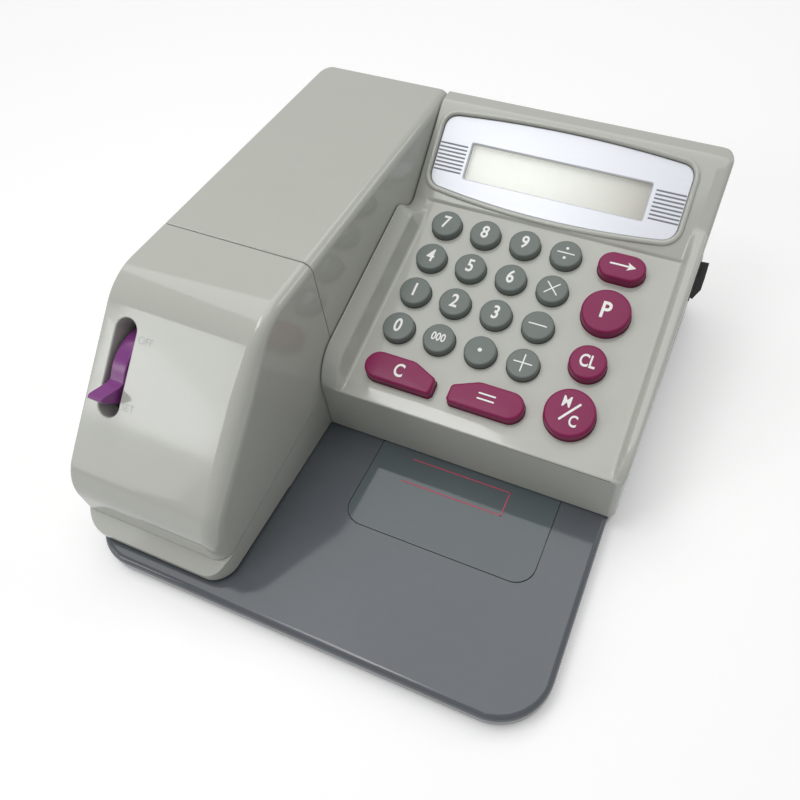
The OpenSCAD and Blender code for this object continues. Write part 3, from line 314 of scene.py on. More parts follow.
def capped(grid: np.ndarray) -> tuple[np.ndarray, list]:
    """Closed skin from a grid of closed rings, with a flat cap on its first and last ring.

    Args:
        grid: array (rings, points, 3).
    Returns:
        Points and faces.
    """
    rows, cols = grid.shape[:2]
    faces = grid_faces(rows, cols, True).tolist()
    faces.append(list(range(cols))[::-1])
    faces.append(list(range((rows - 1) * cols, rows * cols)))
    return grid.reshape(-1, 3), faces


def raised(outline: np.ndarray, z0: float, z1: float, round_top: float, round_low: float = 0.0,
           crown: float = 0.0, steps: int = 6) -> tuple[np.ndarray, list]:
    """Outline raised into a plate or cap with rounded edges.

    A ring at angle t of an edge of radius r is the outline moved in by r (1 - cos t) at
    z1 - r (1 - sin t). With a crown the top is a dome, z = z1 + crown (1 - s^2), where s scales
    the last ring towards the outline's middle.

    Args:
        outline: anticlockwise points.
        z0, z1: lower and upper height.
        round_top, round_low: radii of the two edges.
        crown: height of the dome.
        steps: rings in each rounding.
    Returns:
        Points and faces.
    """
    inward = normals_of(outline)
    insets, heights = [], []
    t = np.linspace(0, np.pi / 2, steps + 1)
    if round_low > 0:
        insets += list(round_low * (1 - np.cos(t[::-1])))
        heights += list(z0 + round_low * (1 - np.sin(t[::-1])))
    else:
        insets.append(0.0)
        heights.append(z0)
    insets += list(round_top * (1 - np.cos(t)))
    heights += list(z1 - round_top * (1 - np.sin(t)))
    inset, height = np.array(insets)[:, None, None], np.array(heights)
    flat = outline[None] + inward[None] * inset
    rings = np.concatenate([flat, np.broadcast_to(height[:, None, None], flat.shape[:2] + (1,))], axis=2)
    if crown:
        middle = flat[-1].mean(axis=0)
        s = np.cos(np.linspace(0, np.pi / 2, 9)[1:-1])[:, None, None]
        dome = middle + (flat[-1] - middle)[None] * s
        lift = np.broadcast_to(z1 + crown * (1 - s ** 2), dome.shape[:2] + (1,))
        rings = np.concatenate([rings, np.concatenate([dome, lift], axis=2)])
    return capped(rings)


def at_levels(outline: Callable, levels: list) -> np.ndarray:
    """Rings of an outline that grows from level to level.

    Args:
        outline: function giving the points for a growth.
        levels: pairs of growth and height.
    Returns:
        Array (levels, points, 3).
    """
    rings = [(outline(grow), z) for grow, z in levels]
    return np.array([np.column_stack([flat, np.full(len(flat), z)]) for flat, z in rings])


def joined(parts: list) -> tuple[np.ndarray, list]:
    """Several meshes as one, each a pair of points and faces.

    Args:
        parts: the pairs.
    Returns:
        Points and faces.
    """
    verts, faces, start = [], [], 0
    for points, cells in parts:
        verts.append(points)
        faces += [[start + i for i in cell] for cell in cells]
        start += len(points)
    return np.concatenate(verts), faces


def swept(path: np.ndarray, inward: np.ndarray, section: np.ndarray) -> tuple[np.ndarray, list]:
    """Closed band: a section (inset, height) carried round a closed path.

    Args:
        path: points of the path.
        inward: inward direction at each point.
        section: closed section, as inset and height.
    Returns:
        Points and faces.
    """
    flat = path[:, None] + inward[:, None] * section[None, :, :1]
    height = np.broadcast_to(section[None, :, 1:], flat.shape[:2] + (1,))
    grid = np.concatenate([flat, height], axis=2)
    grid = np.concatenate([grid, grid[:1]])
    return grid.reshape(-1, 3), grid_faces(grid.shape[0], grid.shape[1], True).tolist()


def loaf(chain: np.ndarray, inward: np.ndarray, rest: np.ndarray, x0: float, x1: float,
         r_left: np.ndarray, r_right: np.ndarray, steps: int = 8) -> tuple[np.ndarray, list]:
    """Side profile carried across in X, with its chain rounded over at both ends.

    At angle t the chain has moved by r (1 - cos t) along its inward directions, at
    x = x0 + r (1 - sin t); the rest of the outline only closes the body.

    Args:
        chain: rounded part of the outline, as (y, z).
        inward: direction in which each of its points moves.
        rest: points that close the outline.
        x0, x1: the two sides.
        r_left, r_right: radius at each point of the chain.
        steps: rings in each rounding.
    Returns:
        Points and faces.
    """
    t = np.linspace(np.pi / 2, 0, steps + 1)
    rings = []
    for side, radius, x_side, turn in ((1, r_left, x0, t), (-1, r_right, x1, t[::-1])):
        for angle in turn:
            moved = chain + inward * (radius * (1 - math.cos(angle)))[:, None]
            x = x_side + side * radius * (1 - math.sin(angle))
            outline = np.concatenate([moved, rest])
            xs = np.concatenate([x, np.full(len(rest), x[-1] if len(x) else x_side)])
            xs[len(chain):] = x_side + side * radius.min() * (1 - math.sin(angle))
            rings.append(np.column_stack([xs, outline]))
    return capped(np.array(rings))


class Shading(Enum):
    """How the normals at a smooth vertex are set."""

    EVEN = "each face counts the same"
    BY_AREA = "large faces keep flat"


def smooth(piece: bpy.types.Object, angle: float = 32.0,
           shading: Shading = Shading.BY_AREA) -> bpy.types.Object:
    """Smooth shading that stays sharp at edges over an angle.

    Args:
        piece: the object.
        angle: edges turning more than this, in degrees, stay sharp.
        shading: how the normals are set.
    Returns:
        The same object.
    """
    mesh = piece.data
    mesh.polygons.foreach_set("use_smooth", np.ones(len(mesh.polygons), dtype=bool))
    mesh.set_sharp_from_angle(angle=math.radians(angle))
    if shading is Shading.BY_AREA:
        modifier = piece.modifiers.new("weighted", "WEIGHTED_NORMAL")
        modifier.keep_sharp = True
        modifier.weight = 100
    return piece


def carve(piece: bpy.types.Object, cutters: list) -> bpy.types.Object:
    """Cuts closed meshes out of a closed piece and applies the result.

    Args:
        piece: the object that is cut.
        cutters: pairs of points and faces, already in place.
    Returns:
        The same object.
    """
    tools = [mesh_piece("tool", points, faces) for points, faces in cutters]
    for tool in tools:
        modifier = piece.modifiers.new("cut", "BOOLEAN")
        modifier.operation = "DIFFERENCE"
        modifier.solver = "EXACT"
        modifier.object = tool
    applied(piece)
    for tool in tools:
        mesh = tool.data
        bpy.data.objects.remove(tool)
        bpy.data.meshes.remove(mesh)
    return piece


def applied(piece: bpy.types.Object) -> bpy.types.Object:
    """Bakes a piece's modifiers into its mesh.

    Args:
        piece: the object.
    Returns:
        The same object.
    """
    graph = bpy.context.evaluated_depsgraph_get()
    graph.update()
    old = piece.data
    piece.data = bpy.data.meshes.new_from_object(piece.evaluated_get(graph), depsgraph=graph)
    piece.modifiers.clear()
    piece.data.name = old.name
    bpy.data.meshes.remove(old)
    return piece


def draped(piece: bpy.types.Object, where: np.ndarray, height: Callable,
           step: float = 0.7) -> bpy.types.Object:
    """Cuts a flat piece into a fine grid, lifts it onto a curved face and carries it into place.

    Args:
        piece: flat object whose mesh holds millimetres in the face's own frame.
        where: frame of the face.
        height: function giving the face's height at (u, v).
        step: width of the grid.
    Returns:
        The same object.
    """
    mesh = piece.data
    work = bmesh.new()
    work.from_mesh(mesh)
    for axis, normal in ((0, (1, 0, 0)), (1, (0, 1, 0))):
        places = [v.co[axis] for v in work.verts]
        for cut in np.arange(min(places) + step, max(places), step):
            bmesh.ops.bisect_plane(work, geom=work.verts[:] + work.edges[:] + work.faces[:],
                                   plane_co=tuple(cut * n for n in normal), plane_no=normal)
    work.to_mesh(mesh)
    work.free()
    points = np.empty(len(mesh.vertices) * 3)
    mesh.vertices.foreach_get("co", points)
    points = points.reshape(-1, 3)
    points[:, 2] += height(points[:, 0], points[:, 1])
    mesh.vertices.foreach_set("co", (placed(points, where) * MM).ravel())
    mesh.update()
    return piece


def softened(node: str, name: str, bevel: float, angle: float = 28.0) -> bpy.types.Object:
    """Copy of a construction node with its flat faces joined and its sharp edges eased.

    Args:
        node: the construction node.
        name: name of the new piece.
        bevel: width of the eased edges in millimetres.
        angle: edges turning more than this, in degrees, are eased.
    Returns:
        The new piece.
    """
    source = frame["nodes"][node]
    mesh = source.data.copy()
    mesh.name = name
    mesh.materials.clear()
    piece = bpy.data.objects.new(name, mesh)
    bpy.context.scene.collection.objects.link(piece)
    work = bmesh.new()
    work.from_mesh(mesh)
    bmesh.ops.remove_doubles(work, verts=work.verts, dist=2e-6)
    bmesh.ops.dissolve_limit(work, angle_limit=math.radians(1.0), verts=work.verts, edges=work.edges)
    work.to_mesh(mesh)
    work.free()
    ease = piece.modifiers.new("ease", "BEVEL")
    ease.width = bevel * MM
    ease.segments = 3
    ease.limit_method = "ANGLE"
    ease.angle_limit = math.radians(angle)
    ease.use_clamp_overlap = True
    applied(piece)
    return smooth(piece, 38)


# ---------------------------------------------------------------------------------------------
# shader writing
# ---------------------------------------------------------------------------------------------
class Wire:
    """A shader value that takes part in arithmetic."""

    def __init__(self, graph: "Graph", socket: bpy.types.NodeSocket) -> None:
        """Keeps the graph and the output socket."""
        self.graph = graph
        self.socket = socket

    def _do(self, operation: str, first: object, second: object) -> "Wire":
        """One Math node on two values."""
        return self.graph.node("ShaderNodeMath", {"operation": operation}, {0: first, 1: second})

    def __add__(self, other: object) -> "Wire":
        """self + other."""
        return self._do("ADD", self, other)

    def __radd__(self, other: object) -> "Wire":
        """other + self."""
        return self._do("ADD", other, self)

    def __sub__(self, other: object) -> "Wire":
        """self - other."""
        return self._do("SUBTRACT", self, other)

    def __rsub__(self, other: object) -> "Wire":
        """other - self."""
        return self._do("SUBTRACT", other, self)

    def __mul__(self, other: object) -> "Wire":
        """self * other."""
        return self._do("MULTIPLY", self, other)

    def __rmul__(self, other: object) -> "Wire":
        """other * self."""
        return self._do("MULTIPLY", other, self)

    def most(self, other: object) -> "Wire":
        """The greater of the two."""
        return self._do("MAXIMUM", self, other)

    def fold(self, period: float) -> "Wire":
        """Distance into the current period."""
        return self._do("FLOORED_MODULO", self, period)


class Graph:
    """Node tree of one material or world."""

    def __init__(self, owner: bpy.types.ID) -> None:
        """Empties the owner's tree and gives it an output node."""
        owner.use_nodes = True
        self.owner = owner
        self.tree = owner.node_tree
        self.tree.nodes.clear()
        kind = "World" if isinstance(owner, bpy.types.World) else "Material"
        self.output = self.tree.nodes.new("ShaderNodeOutput" + kind)

    @classmethod
    def material(cls, name: str) -> "Graph":
        """Graph of a new material."""
        return cls(bpy.data.materials.new(name))

    def node(self, kind: str, settings: dict | None = None, inputs: dict | None = None,
             out: int | str = 0) -> Wire:
        """Adds any node.

        Args:
            kind: the node's type.
            settings: its properties.
            inputs: values or wires for its sockets, by name or number.
            out: the output socket that is wanted.
        Returns:
            The wanted output.
        """
        made = self.tree.nodes.new(kind)
        for key, value in (settings or {}).items():
            setattr(made, key, value)
        for key, value in (inputs or {}).items():
            socket = made.inputs[key]
            if isinstance(value, Wire):
                self.tree.links.new(value.socket, socket)
            elif isinstance(value, tuple) and len(value) == 3 and socket.type == "RGBA":
                socket.default_value = (*value, 1.0)
            else:
                socket.default_value = value
        return Wire(self, made.outputs[out])

    def place(self, scale: tuple = (1.0, 1.0, 1.0)) -> Wire:
        """Object coordinates, scaled."""
        where = self.node("ShaderNodeTexCoord", out="Object")
        return self.node("ShaderNodeMapping", {}, {"Vector": where, "Scale": scale})

    def noise(self, vector: Wire, scale: float, detail: float = 3.0, rough: float = 0.5) -> Wire:
        """Noise between about 0.2 and 0.8."""
        return self.node("ShaderNodeTexNoise", {}, {"Vector": vector, "Scale": scale, "Detail": detail,
                                                   "Roughness": rough})

    def blend(self, factor: object, first: object, second: object) -> Wire:
        """Mix of two colours."""
        return self.node("ShaderNodeMix", {"data_type": "RGBA"}, {0: factor, 6: first, 7: second}, out=2)

    def ramp(self, value: Wire, low: float, high: float, a: float = 0.0, b: float = 1.0) -> Wire:
        """Value carried from low..high to a..b and held there."""
        return self.node("ShaderNodeMapRange", {}, {"Value": value, "From Min": low, "From Max": high,
                                                    "To Min": a, "To Max": b})

    def bump(self, height: Wire, strength: float, distance: float) -> Wire:
        """Normal from a height."""
        return self.node("ShaderNodeBump", {}, {"Height": height, "Strength": strength,
                                                "Distance": distance})

    def finish(self, shader: Wire) -> bpy.types.ID:
        """Joins a shader to the output."""
        self.tree.links.new(shader.socket, self.output.inputs["Surface"])
        return self.owner

    def surface(self, **inputs: object) -> bpy.types.Material:
        """Principled surface with the given sockets, joined to the output."""
        named = {key.replace("_", " "): value for key, value in inputs.items()}
        return self.finish(self.node("ShaderNodeBsdfPrincipled", {}, named))


def srgb(r: float, g: float, b: float) -> tuple:
    """Linear colour from 0..255 display values.

    Args:
        r, g, b: display values.
    Returns:
        Linear colour.
    """
    def one(v: float) -> float:
        """Linear value of one channel."""
        v = v / 255
        return v / 12.92 if v <= 0.04045 else ((v + 0.055) / 1.055) ** 2.4
    return (one(r), one(g), one(b))


def toned(colour: tuple, share: float) -> tuple:
    """The colour times a share."""
    return tuple(c * share for c in colour)


@dataclass(frozen=True)
class Moulded:
    """Moulded plastic: faint mottling, fine moulding texture, and smudges in its gloss."""

    name: str
    colour: tuple
    shade: float = 0.94
    gloss: float = 0.24
    smudge: float = 0.08
    grain: float = 0.02
    grain_scale: float = 900.0
    coat: float = 0.0
    specular: float = 0.5

    def make(self) -> bpy.types.Material:
        """Builds the material."""
        g = Graph.material(self.name)
        where = g.place()
        cloud = g.noise(where, 18.0, 4.0)
        fine = g.noise(where, 240.0, 2.0)
        dark = toned(self.colour, self.shade)
        tone = g.blend(g.ramp(cloud * 0.7 + fine * 0.3, 0.35, 0.65), dark, self.colour)
        rub = g.noise(where, 34.0, 5.0, 0.6)
        rough = g.ramp(rub, 0.35, 0.7, self.gloss, self.gloss + self.smudge)
        skin = g.noise(where, self.grain_scale, 2.0, 0.5)
        wave = g.noise(where, 60.0, 1.0)
        normal = g.bump(skin + wave * 2.0, self.grain, 0.0004)
        return g.surface(Base_Color=tone, Roughness=rough, Normal=normal, Coat_Weight=self.coat,
                         Coat_Roughness=0.06, Specular_IOR_Level=self.specular)


@dataclass(frozen=True)
class Metal:
    """Plain or brushed metal with streaks along one axis."""

    name: str
    colour: tuple
    rough: float = 0.32
    streak: tuple = (1.0, 40.0, 40.0)
    metallic: float = 1.0

    def make(self) -> bpy.types.Material:
        """Builds the material."""
        g = Graph.material(self.name)
        lines = g.noise(g.place(self.streak), 60.0, 4.0, 0.7)
        tone = g.blend(g.ramp(lines, 0.3, 0.7), toned(self.colour, 0.86), self.colour)
        rough = g.ramp(lines, 0.3, 0.7, self.rough - 0.07, self.rough + 0.07)
        return g.surface(Base_Color=tone, Roughness=rough, Metallic=self.metallic,
                         Normal=g.bump(lines, 0.15, 0.0002))


@dataclass(frozen=True)
class Silvered:
    """Silver-white printed plate with a fine sideways brush."""

    name: str
    colour: tuple

    def make(self) -> bpy.types.Material:
        """Builds the material."""
        g = Graph.material(self.name)
        lines = g.noise(g.place((2.0, 120.0, 120.0)), 50.0, 3.0, 0.7)
        cloud = g.noise(g.place(), 14.0, 2.0)
        tone = g.blend(g.ramp(lines * 0.6 + cloud * 0.4, 0.35, 0.65), toned(self.colour, 0.93), self.colour)
        return g.surface(Base_Color=tone, Roughness=g.ramp(lines, 0.3, 0.7, 0.3, 0.42), Metallic=0.25,
                         Normal=g.bump(lines, 0.06, 0.0002))


@dataclass(frozen=True)
class LiquidCrystal:
    """Grey display glass: faint cells of the characters, a darker right end, and a painted glow from a weak
    emission that stands in for light on the glass.
    """

    name: str
    colour: tuple
    dark: tuple
    left: float
    right: float
    cell: float = 0.0058

    def make(self) -> bpy.types.Material:
        """Builds the material."""
        g = Graph.material(self.name)
        x = g.node("ShaderNodeSeparateXYZ", {}, {"Vector": g.node("ShaderNodeTexCoord", out="Object")})
        fade = g.ramp(x, self.left, self.right)
        step = (x - self.left).fold(self.cell)
        gap = g.ramp(step, 0.0, self.cell * 0.14, 1.0, 0.0)
        base = g.blend(fade * fade * fade, self.colour, self.dark)
        faint = g.blend(gap * 0.10, base, toned(self.colour, 0.6))
        cloud = g.noise(g.place(), 40.0, 3.0)
        tone = g.blend(g.ramp(cloud, 0.3, 0.7, 0.0, 0.06), faint, self.dark)
        # Painted light: the emission makes the glass glow a little, though it is no lamp.
        return g.surface(Base_Color=tone, Roughness=g.ramp(cloud, 0.3, 0.7, 0.32, 0.4), Emission_Color=tone,
                         Emission_Strength=0.42)


@dataclass(frozen=True)
class ClearLens:
    """Thin clear plastic: mostly see-through, with its reflection by Fresnel."""

    name: str

    def make(self) -> bpy.types.Material:
        """Builds the material."""
        g = Graph.material(self.name)
        dust = g.noise(g.place(), 90.0, 4.0)
        clear = g.node("ShaderNodeBsdfTransparent", {}, {"Color": (0.97, 0.975, 0.97)})
        shine = g.node("ShaderNodeBsdfPrincipled", {}, {"Base Color": (0.9, 0.9, 0.9),
                                                       "Roughness": g.ramp(dust, 0.4, 0.7, 0.05, 0.12)})
        mirror = g.node("ShaderNodeFresnel", {}, {"IOR": 1.45})
        return g.finish(g.node("ShaderNodeMixShader", {}, {0: mirror * 0.9 + 0.02, 1: clear, 2: shine}))


@dataclass(frozen=True)
class Board:
    """Green circuit board with tracks and pads."""

    name: str

    def make(self) -> bpy.types.Material:
        """Builds the material."""
        g = Graph.material(self.name)
        where = g.place()
        tracks = g.node("ShaderNodeTexBrick", {"offset": 0.5}, {
            "Vector": where, "Scale": 160.0, "Mortar Size": 0.03, "Color1": (0.01, 0.10, 0.04),
            "Color2": (0.012, 0.12, 0.05), "Mortar": (0.03, 0.22, 0.10)})
        dots = g.node("ShaderNodeTexVoronoi", {}, {"Vector": where, "Scale": 220.0})
        pads = g.ramp(dots, 0.12, 0.16, 1.0, 0.0)
        tone = g.blend(pads, tracks, (0.6, 0.58, 0.5))
        return g.surface(Base_Color=tone, Roughness=g.ramp(dots, 0.1, 0.5, 0.3, 0.42))


@dataclass(frozen=True)
class Soft:
    """Rubber, silicone or felt: matte with a fine nap."""

    name: str
    colour: tuple
    rough: float = 0.75
    nap: float = 0.4
    scale: float = 700.0

    def make(self) -> bpy.types.Material:
        """Builds the material."""
        g = Graph.material(self.name)
        nap = g.noise(g.place(), self.scale, 4.0, 0.7)
        tone = g.blend(g.ramp(nap, 0.3, 0.7), toned(self.colour, 0.75), self.colour)
        rough = g.ramp(nap, 0.3, 0.7, self.rough - 0.08, self.rough + 0.08)
        return g.surface(Base_Color=tone, Roughness=rough, Normal=g.bump(nap, self.nap, 0.0003))


@dataclass(frozen=True)
class Printed:
    """Ink of a printed figure, a little worn."""

    name: str
    colour: tuple
    rough: float = 0.45

    def make(self) -> bpy.types.Material:
        """Builds the material."""
        g = Graph.material(self.name)
        wear = g.noise(g.place(), 500.0, 3.0)
        tone = g.blend(g.ramp(wear, 0.3, 0.7), toned(self.colour, 0.93), self.colour)
        rough = g.ramp(wear, 0.3, 0.7, self.rough - 0.05, self.rough + 0.05)
        return g.surface(Base_Color=tone, Roughness=rough)


@dataclass(frozen=True)
class Seamless:
    """Floor that is white to the camera and keeps the shadow on it."""

    name: str
    lift: float = 0.22

    def make(self) -> bpy.types.Material:
        """Builds the material."""
        g = Graph.material(self.name)
        cloud = g.noise(g.place(), 1.5, 2.0)
        tone = g.blend(cloud, (0.88, 0.88, 0.88), (0.9, 0.9, 0.9))
        paths = g.node("ShaderNodeLightPath", out="Is Camera Ray")
        gloss = g.node("ShaderNodeLightPath", out="Is Glossy Ray")
        through = g.node("ShaderNodeLightPath", out="Is Transmission Ray")
        matte = g.node("ShaderNodeBsdfDiffuse", {}, {"Color": tone})
        glow = g.node("ShaderNodeEmission", {}, {"Color": (1, 1, 1), "Strength": self.lift})
        off = g.node("ShaderNodeEmission", {}, {"Color": (0, 0, 0), "Strength": 0.0})
        shown = g.node("ShaderNodeMixShader", {}, {0: paths + gloss + through, 1: off, 2: glow})
        return g.finish(g.node("ShaderNodeAddShader", {}, {0: matte, 1: shown}))


SHELL = srgb(188, 190, 182)
FINISHES = {
    "shell": Moulded("shell_abs", SHELL, 0.97, 0.07, 0.05, 0.006),
    "panel": Moulded("panel_abs", srgb(190, 192, 185), 0.965, 0.28, 0.06, 0.02),
    "tray": Moulded("tray_abs", srgb(92, 97, 103), 0.94, 0.08, 0.05, 0.008),
    "window": Moulded("window_acrylic", srgb(90, 99, 102), 0.96, 0.04, 0.04, 0.004),
    "violet": Moulded("lever_violet", srgb(130, 60, 132), 0.9, 0.2, 0.08, 0.02),
    "grey_key": Moulded("key_grey", srgb(114, 122, 117), 0.95, 0.34, 0.08, 0.03, specular=0.35),
    "purple_key": Moulded("key_purple", srgb(136, 28, 82), 0.93, 0.34, 0.08, 0.03, specular=0.3),
    "black": Moulded("black_plastic", srgb(34, 34, 36), 0.85, 0.3, 0.1, 0.03),
    "inner": Moulded("inner_plastic", srgb(66, 66, 68), 0.9, 0.4, 0.1, 0.04),
    "gear": Moulded("gear_acetal", srgb(222, 216, 196), 0.95, 0.35, 0.08, 0.02),
    "steel": Metal("steel", (0.62, 0.62, 0.63)),
    "can": Metal("motor_can", (0.5, 0.5, 0.5), 0.38),
    "bezel": Silvered("bezel_silver", srgb(226, 229, 236)),
    "stripe": Printed("bezel_stripe", srgb(128, 132, 138)),
    "legend": Printed("legend_white", srgb(243, 243, 240)),
    "faint": Printed("moulded_mark", srgb(172, 175, 172), 0.25),
    "red": Printed("guide_red", srgb(196, 66, 100)),
    "lens": ClearLens("lens_clear"),
    "board": Board("board_green"),
    "mat": Soft("silicone_mat", srgb(205, 205, 198), 0.6, 0.1),
    "rubber": Soft("rubber_black", srgb(40, 40, 42)),
    "felt": Soft("ink_felt", srgb(32, 30, 52), 0.9, 0.9),
}


class Finishes:
    """Materials made once, by name."""

    def __init__(self) -> None:
        """Starts with none made."""
        self.made: dict[str, bpy.types.Material] = {}

    def __call__(self, name: str) -> bpy.types.Material:
        """The material of that name."""
        if name not in self.made:
            self.made[name] = FINISHES[name].make()
        return self.made[name]


paint = Finishes()


def finish_piece(piece: bpy.types.Object, finish: str, body: str, slot: str,
                 *nodes: str) -> bpy.types.Object:
    """Gives a piece its material and body, and the nodes it stands for.

    Args:
        piece: the object.
        finish: name of its finish.
        body: body that it rides on.
        slot: the record's material slot; not used.
        nodes: construction nodes that it replaces.
    Returns:
        The same object.
    """
    piece.data.materials.clear()
    piece.data.materials.append(paint(finish))
    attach(piece, body)
    if nodes:
        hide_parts(*nodes)
    LOG.info("%s: %d faces", piece.name, len(piece.data.polygons))
    return piece


# ---------------------------------------------------------------------------------------------
# the arm
# ---------------------------------------------------------------------------------------------
@dataclass
class Arm:
    """Print arm: rear cover, front cover with its slot, and the lever."""

    lay: Layout
    top_r: float = 27.0
    low_r: float = 20.0
    edge_r: float = 4.0
    nose_edge_r: float = 6.0
    back_r: float = 8.0
    back_edge_r: float = 3.0
    back_right_r: float = 2.0
    left_r: float = 1.2
    left_foot_r: float = 2.0
    left_span: tuple = (30.0, 48.0)
    seam_rise: tuple = (20.0, 9.6)
    seam_gap: float = 0.4
    seam_ease: float = 0.3
    slot_w: float = 8.6
    slot_len: float = 35.5
    slot_x: float = 10.6
    slot_down: float = 31.0
    slot_flare: float = 0.5
    lever_deep: float = 18.4
    lever_r: float = 17.6
    lever_half: float = 3.1
    boss_r: float = 4.0
    bracket_down: float = 3.2

    def seam_z(self, y: float) -> float:
        """Height of the seam between cover and jaw at y."""
        y0, y1 = self.lay.cover[0][1], self.lay.house[0][1]
        low, high = self.lay.tray_top + self.seam_rise[1], self.lay.tray_top + self.seam_rise[0]
        return low + (high - low) * (y - y0) / (y1 - y0)

    def nose_chain(self, inset: float, y_end: float) -> tuple[np.ndarray, np.ndarray]:
        """Top, roll-over, leaning face and front of the front cover, from the seam forwards.

        The two bends are arcs tangent to their neighbours, at r tan(turn / 2) from the corners.

        Args:
            inset: distance inside the outer faces.
            y_end: where the flat top begins at the back.
        Returns:
            Points (y, z) and the inward direction at each.
        """
        a = self.lay.nose_slope
        top, y0 = self.lay.nose_top, self.lay.cover[0][1]
        foot_z = top[1] - (top[0] - y0) * math.tan(a)
        lead_top = self.top_r * math.tan(a / 2)
        lead_low = self.low_r * math.tan((math.pi / 2 - a) / 2)
        deg = math.degrees(a)
        roll = arc(top[0] + lead_top, top[1] - self.top_r, self.top_r - inset, 90, 90 + deg, 20)
        low = arc(y0 + self.low_r, foot_z - lead_low, self.low_r - inset, 90 + deg, 180, 20)
        flat_y = np.append(y_end, np.linspace(y_end - self.seam_ease, roll[0, 0] + 2, 6))
        flat = np.column_stack([flat_y, np.full(len(flat_y), top[1] - inset)])
        flat[0, 1] -= self.seam_ease
        lean = roll[-1] + (low[0] - roll[-1]) * np.linspace(0.08, 0.92, 8)[:, None]
        drop_z = np.linspace(low[-1, 1] - 3, self.seam_z(y0) + self.seam_gap, 3)
        drop = np.column_stack([np.full(len(drop_z), y0 + inset), drop_z])
        points = np.concatenate([flat, roll, lean, low, drop])
        turn = np.radians(np.concatenate([
            np.full(len(flat), 90.0), np.linspace(90, 90 + deg, len(roll)), np.full(len(lean), 90 + deg),
            np.linspace(90 + deg, 180, len(low)), np.full(len(drop), 180.0)]))
        inward = -np.column_stack([np.cos(turn), np.sin(turn)])
        inward[-1] = (1.0, self.seam_z(0) - self.seam_z(-1))
        return points, inward

    def nose_frame(self) -> np.ndarray:
        """Frame on the leaning face, at the slot's middle."""
        where = tilted(self.lay.arm[0][0], self.lay.nose_top, self.lay.nose_slope)
        shift = np.eye(4)
        shift[:3, 3] = (self.slot_x, -self.slot_down, 0)
        return where @ shift

    def axle_frame(self) -> np.ndarray:
        """Frame at the lever's axle: outlines lie in the lever's plane, height runs along X."""
        down = np.eye(4)
        down[2, 3] = -self.lever_deep
        return self.nose_frame() @ down @ across()

    def front_cover(self) -> None:
        """Front cover with its hollow, slot, well and lever bracket."""
        x0, x1 = self.lay.cover[0][0], self.lay.cover[1][0]
        y_end = self.lay.cover[1][1]
        wall = self.lay.wall
        chain, inward = self.nose_chain(0.0, y_end)
        rest = np.array([[y_end, self.seam_z(y_end) + self.seam_gap]])
        grow = np.interp(chain[:, 0], [self.lay.nose_top[0] - 20, self.lay.nose_top[0]],
                         [self.nose_edge_r, self.edge_r])
        left = np.interp(chain[:, 1], self.left_span, [self.left_foot_r, self.left_r])
        skin = loaf(chain, inward, rest, x0, x1, left, grow)
        inner, inner_in = self.nose_chain(wall, y_end + 2)
        inner[-1, 1] -= 6
        hollow_rest = np.array([[y_end + 2, self.seam_z(y_end) - 6]])
        hollow = loaf(inner, inner_in, hollow_rest, x0 + wall, x1 - wall, left * 0.6, grow * 0.6)
        cover = mesh_piece("front_cover_shell", *skin)
        carve(cover, [hollow, self.slot_tool()])
        smooth(cover)
        finish_piece(cover, "shell", "front_cover", "shell", "arm_front_cover")
        self.slot_well()

    def slot_outline(self, grow: float) -> np.ndarray:
        """Stadium of the slot, grown by an amount."""
        w, d = self.slot_w + 2 * grow, self.slot_len + 2 * grow
        return box_outline(w, d, w / 2 - 0.01, 12)

    def slot_tool(self) -> tuple[np.ndarray, list]:
        """Cutter of the slot, flared by an arc where it leaves the face."""
        t = np.linspace(0, np.pi / 2, 5)
        r = self.slot_flare
        levels = [(0.0, -8.0)] + [(r * (1 - math.cos(a)), -r + r * math.sin(a)) for a in t] + [(r, 3.0)]
        points, faces = capped(at_levels(self.slot_outline, levels))
        return placed(points, self.nose_frame()), faces

    def slot_well(self) -> None:
        """Wall that hangs inside the cover round the slot, and the bracket of the lever's axle."""
        outline = self.slot_outline(0.0)[::-1]
        inward = normals_of(outline[::-1])[::-1]
        inner, outer, top, foot = 0.02, -1.1, -1.0, -9.0
        section = np.array([[inner, top], [inner, foot], [outer, foot], [outer, top]])
        well = mesh_piece("lever_slot_well", *swept(outline, inward, section), self.nose_frame())
        finish_piece(smooth(well, 40), "shell", "front_cover", "shell")
        half, r, top = self.lever_half, self.boss_r, self.lever_deep - self.bracket_down
        plate = np.concatenate([arc(0, 0, r, 180, 360, 16), [[r, top], [-r, top]]])
        web = raised(plate, half + 0.5, half + 2.0, 0.3, 0.3)
        boss = raised(ring(r, 32), -self.slot_x + 1.5, -half - 0.5, 0.3)
        bracket = mesh_piece("lever_bracket", *joined([web, boss]), self.axle_frame())
        finish_piece(smooth(bracket), "shell", "front_cover", "shell")

    def rear_skin(self, inset: float, y0: float, foot: float) -> tuple[np.ndarray, list]:
        """Cross-sections with rounded top corners, carried along Y and capped at both ends.

        At a distance e from the back an edge of radius r has come in by r - sqrt(r^2 - (r - e)^2).

        Args:
            inset: distance inside the outer faces.
            y0: front end.
            foot: lower end.
        Returns:
            Points and faces.
        """
        x0, x1 = self.lay.arm[0][0] + inset, self.lay.arm[1][0] - inset
        y1, z1 = self.lay.arm[1][1] - inset, self.lay.arm[1][2] - inset
        bend = 1 - np.cos(np.linspace(0, np.pi / 2, 13))
        rounds = [y1 - r * bend for r in (self.back_r, self.back_edge_r, self.back_right_r)]
        y = np.concatenate([[y0, y0 + self.seam_ease], np.linspace(y0 + 1, y1 - self.back_r, 8)] + rounds)
        y = np.unique(np.round(y, 3))
        y = y[np.append(True, np.diff(y) > 0.02)]

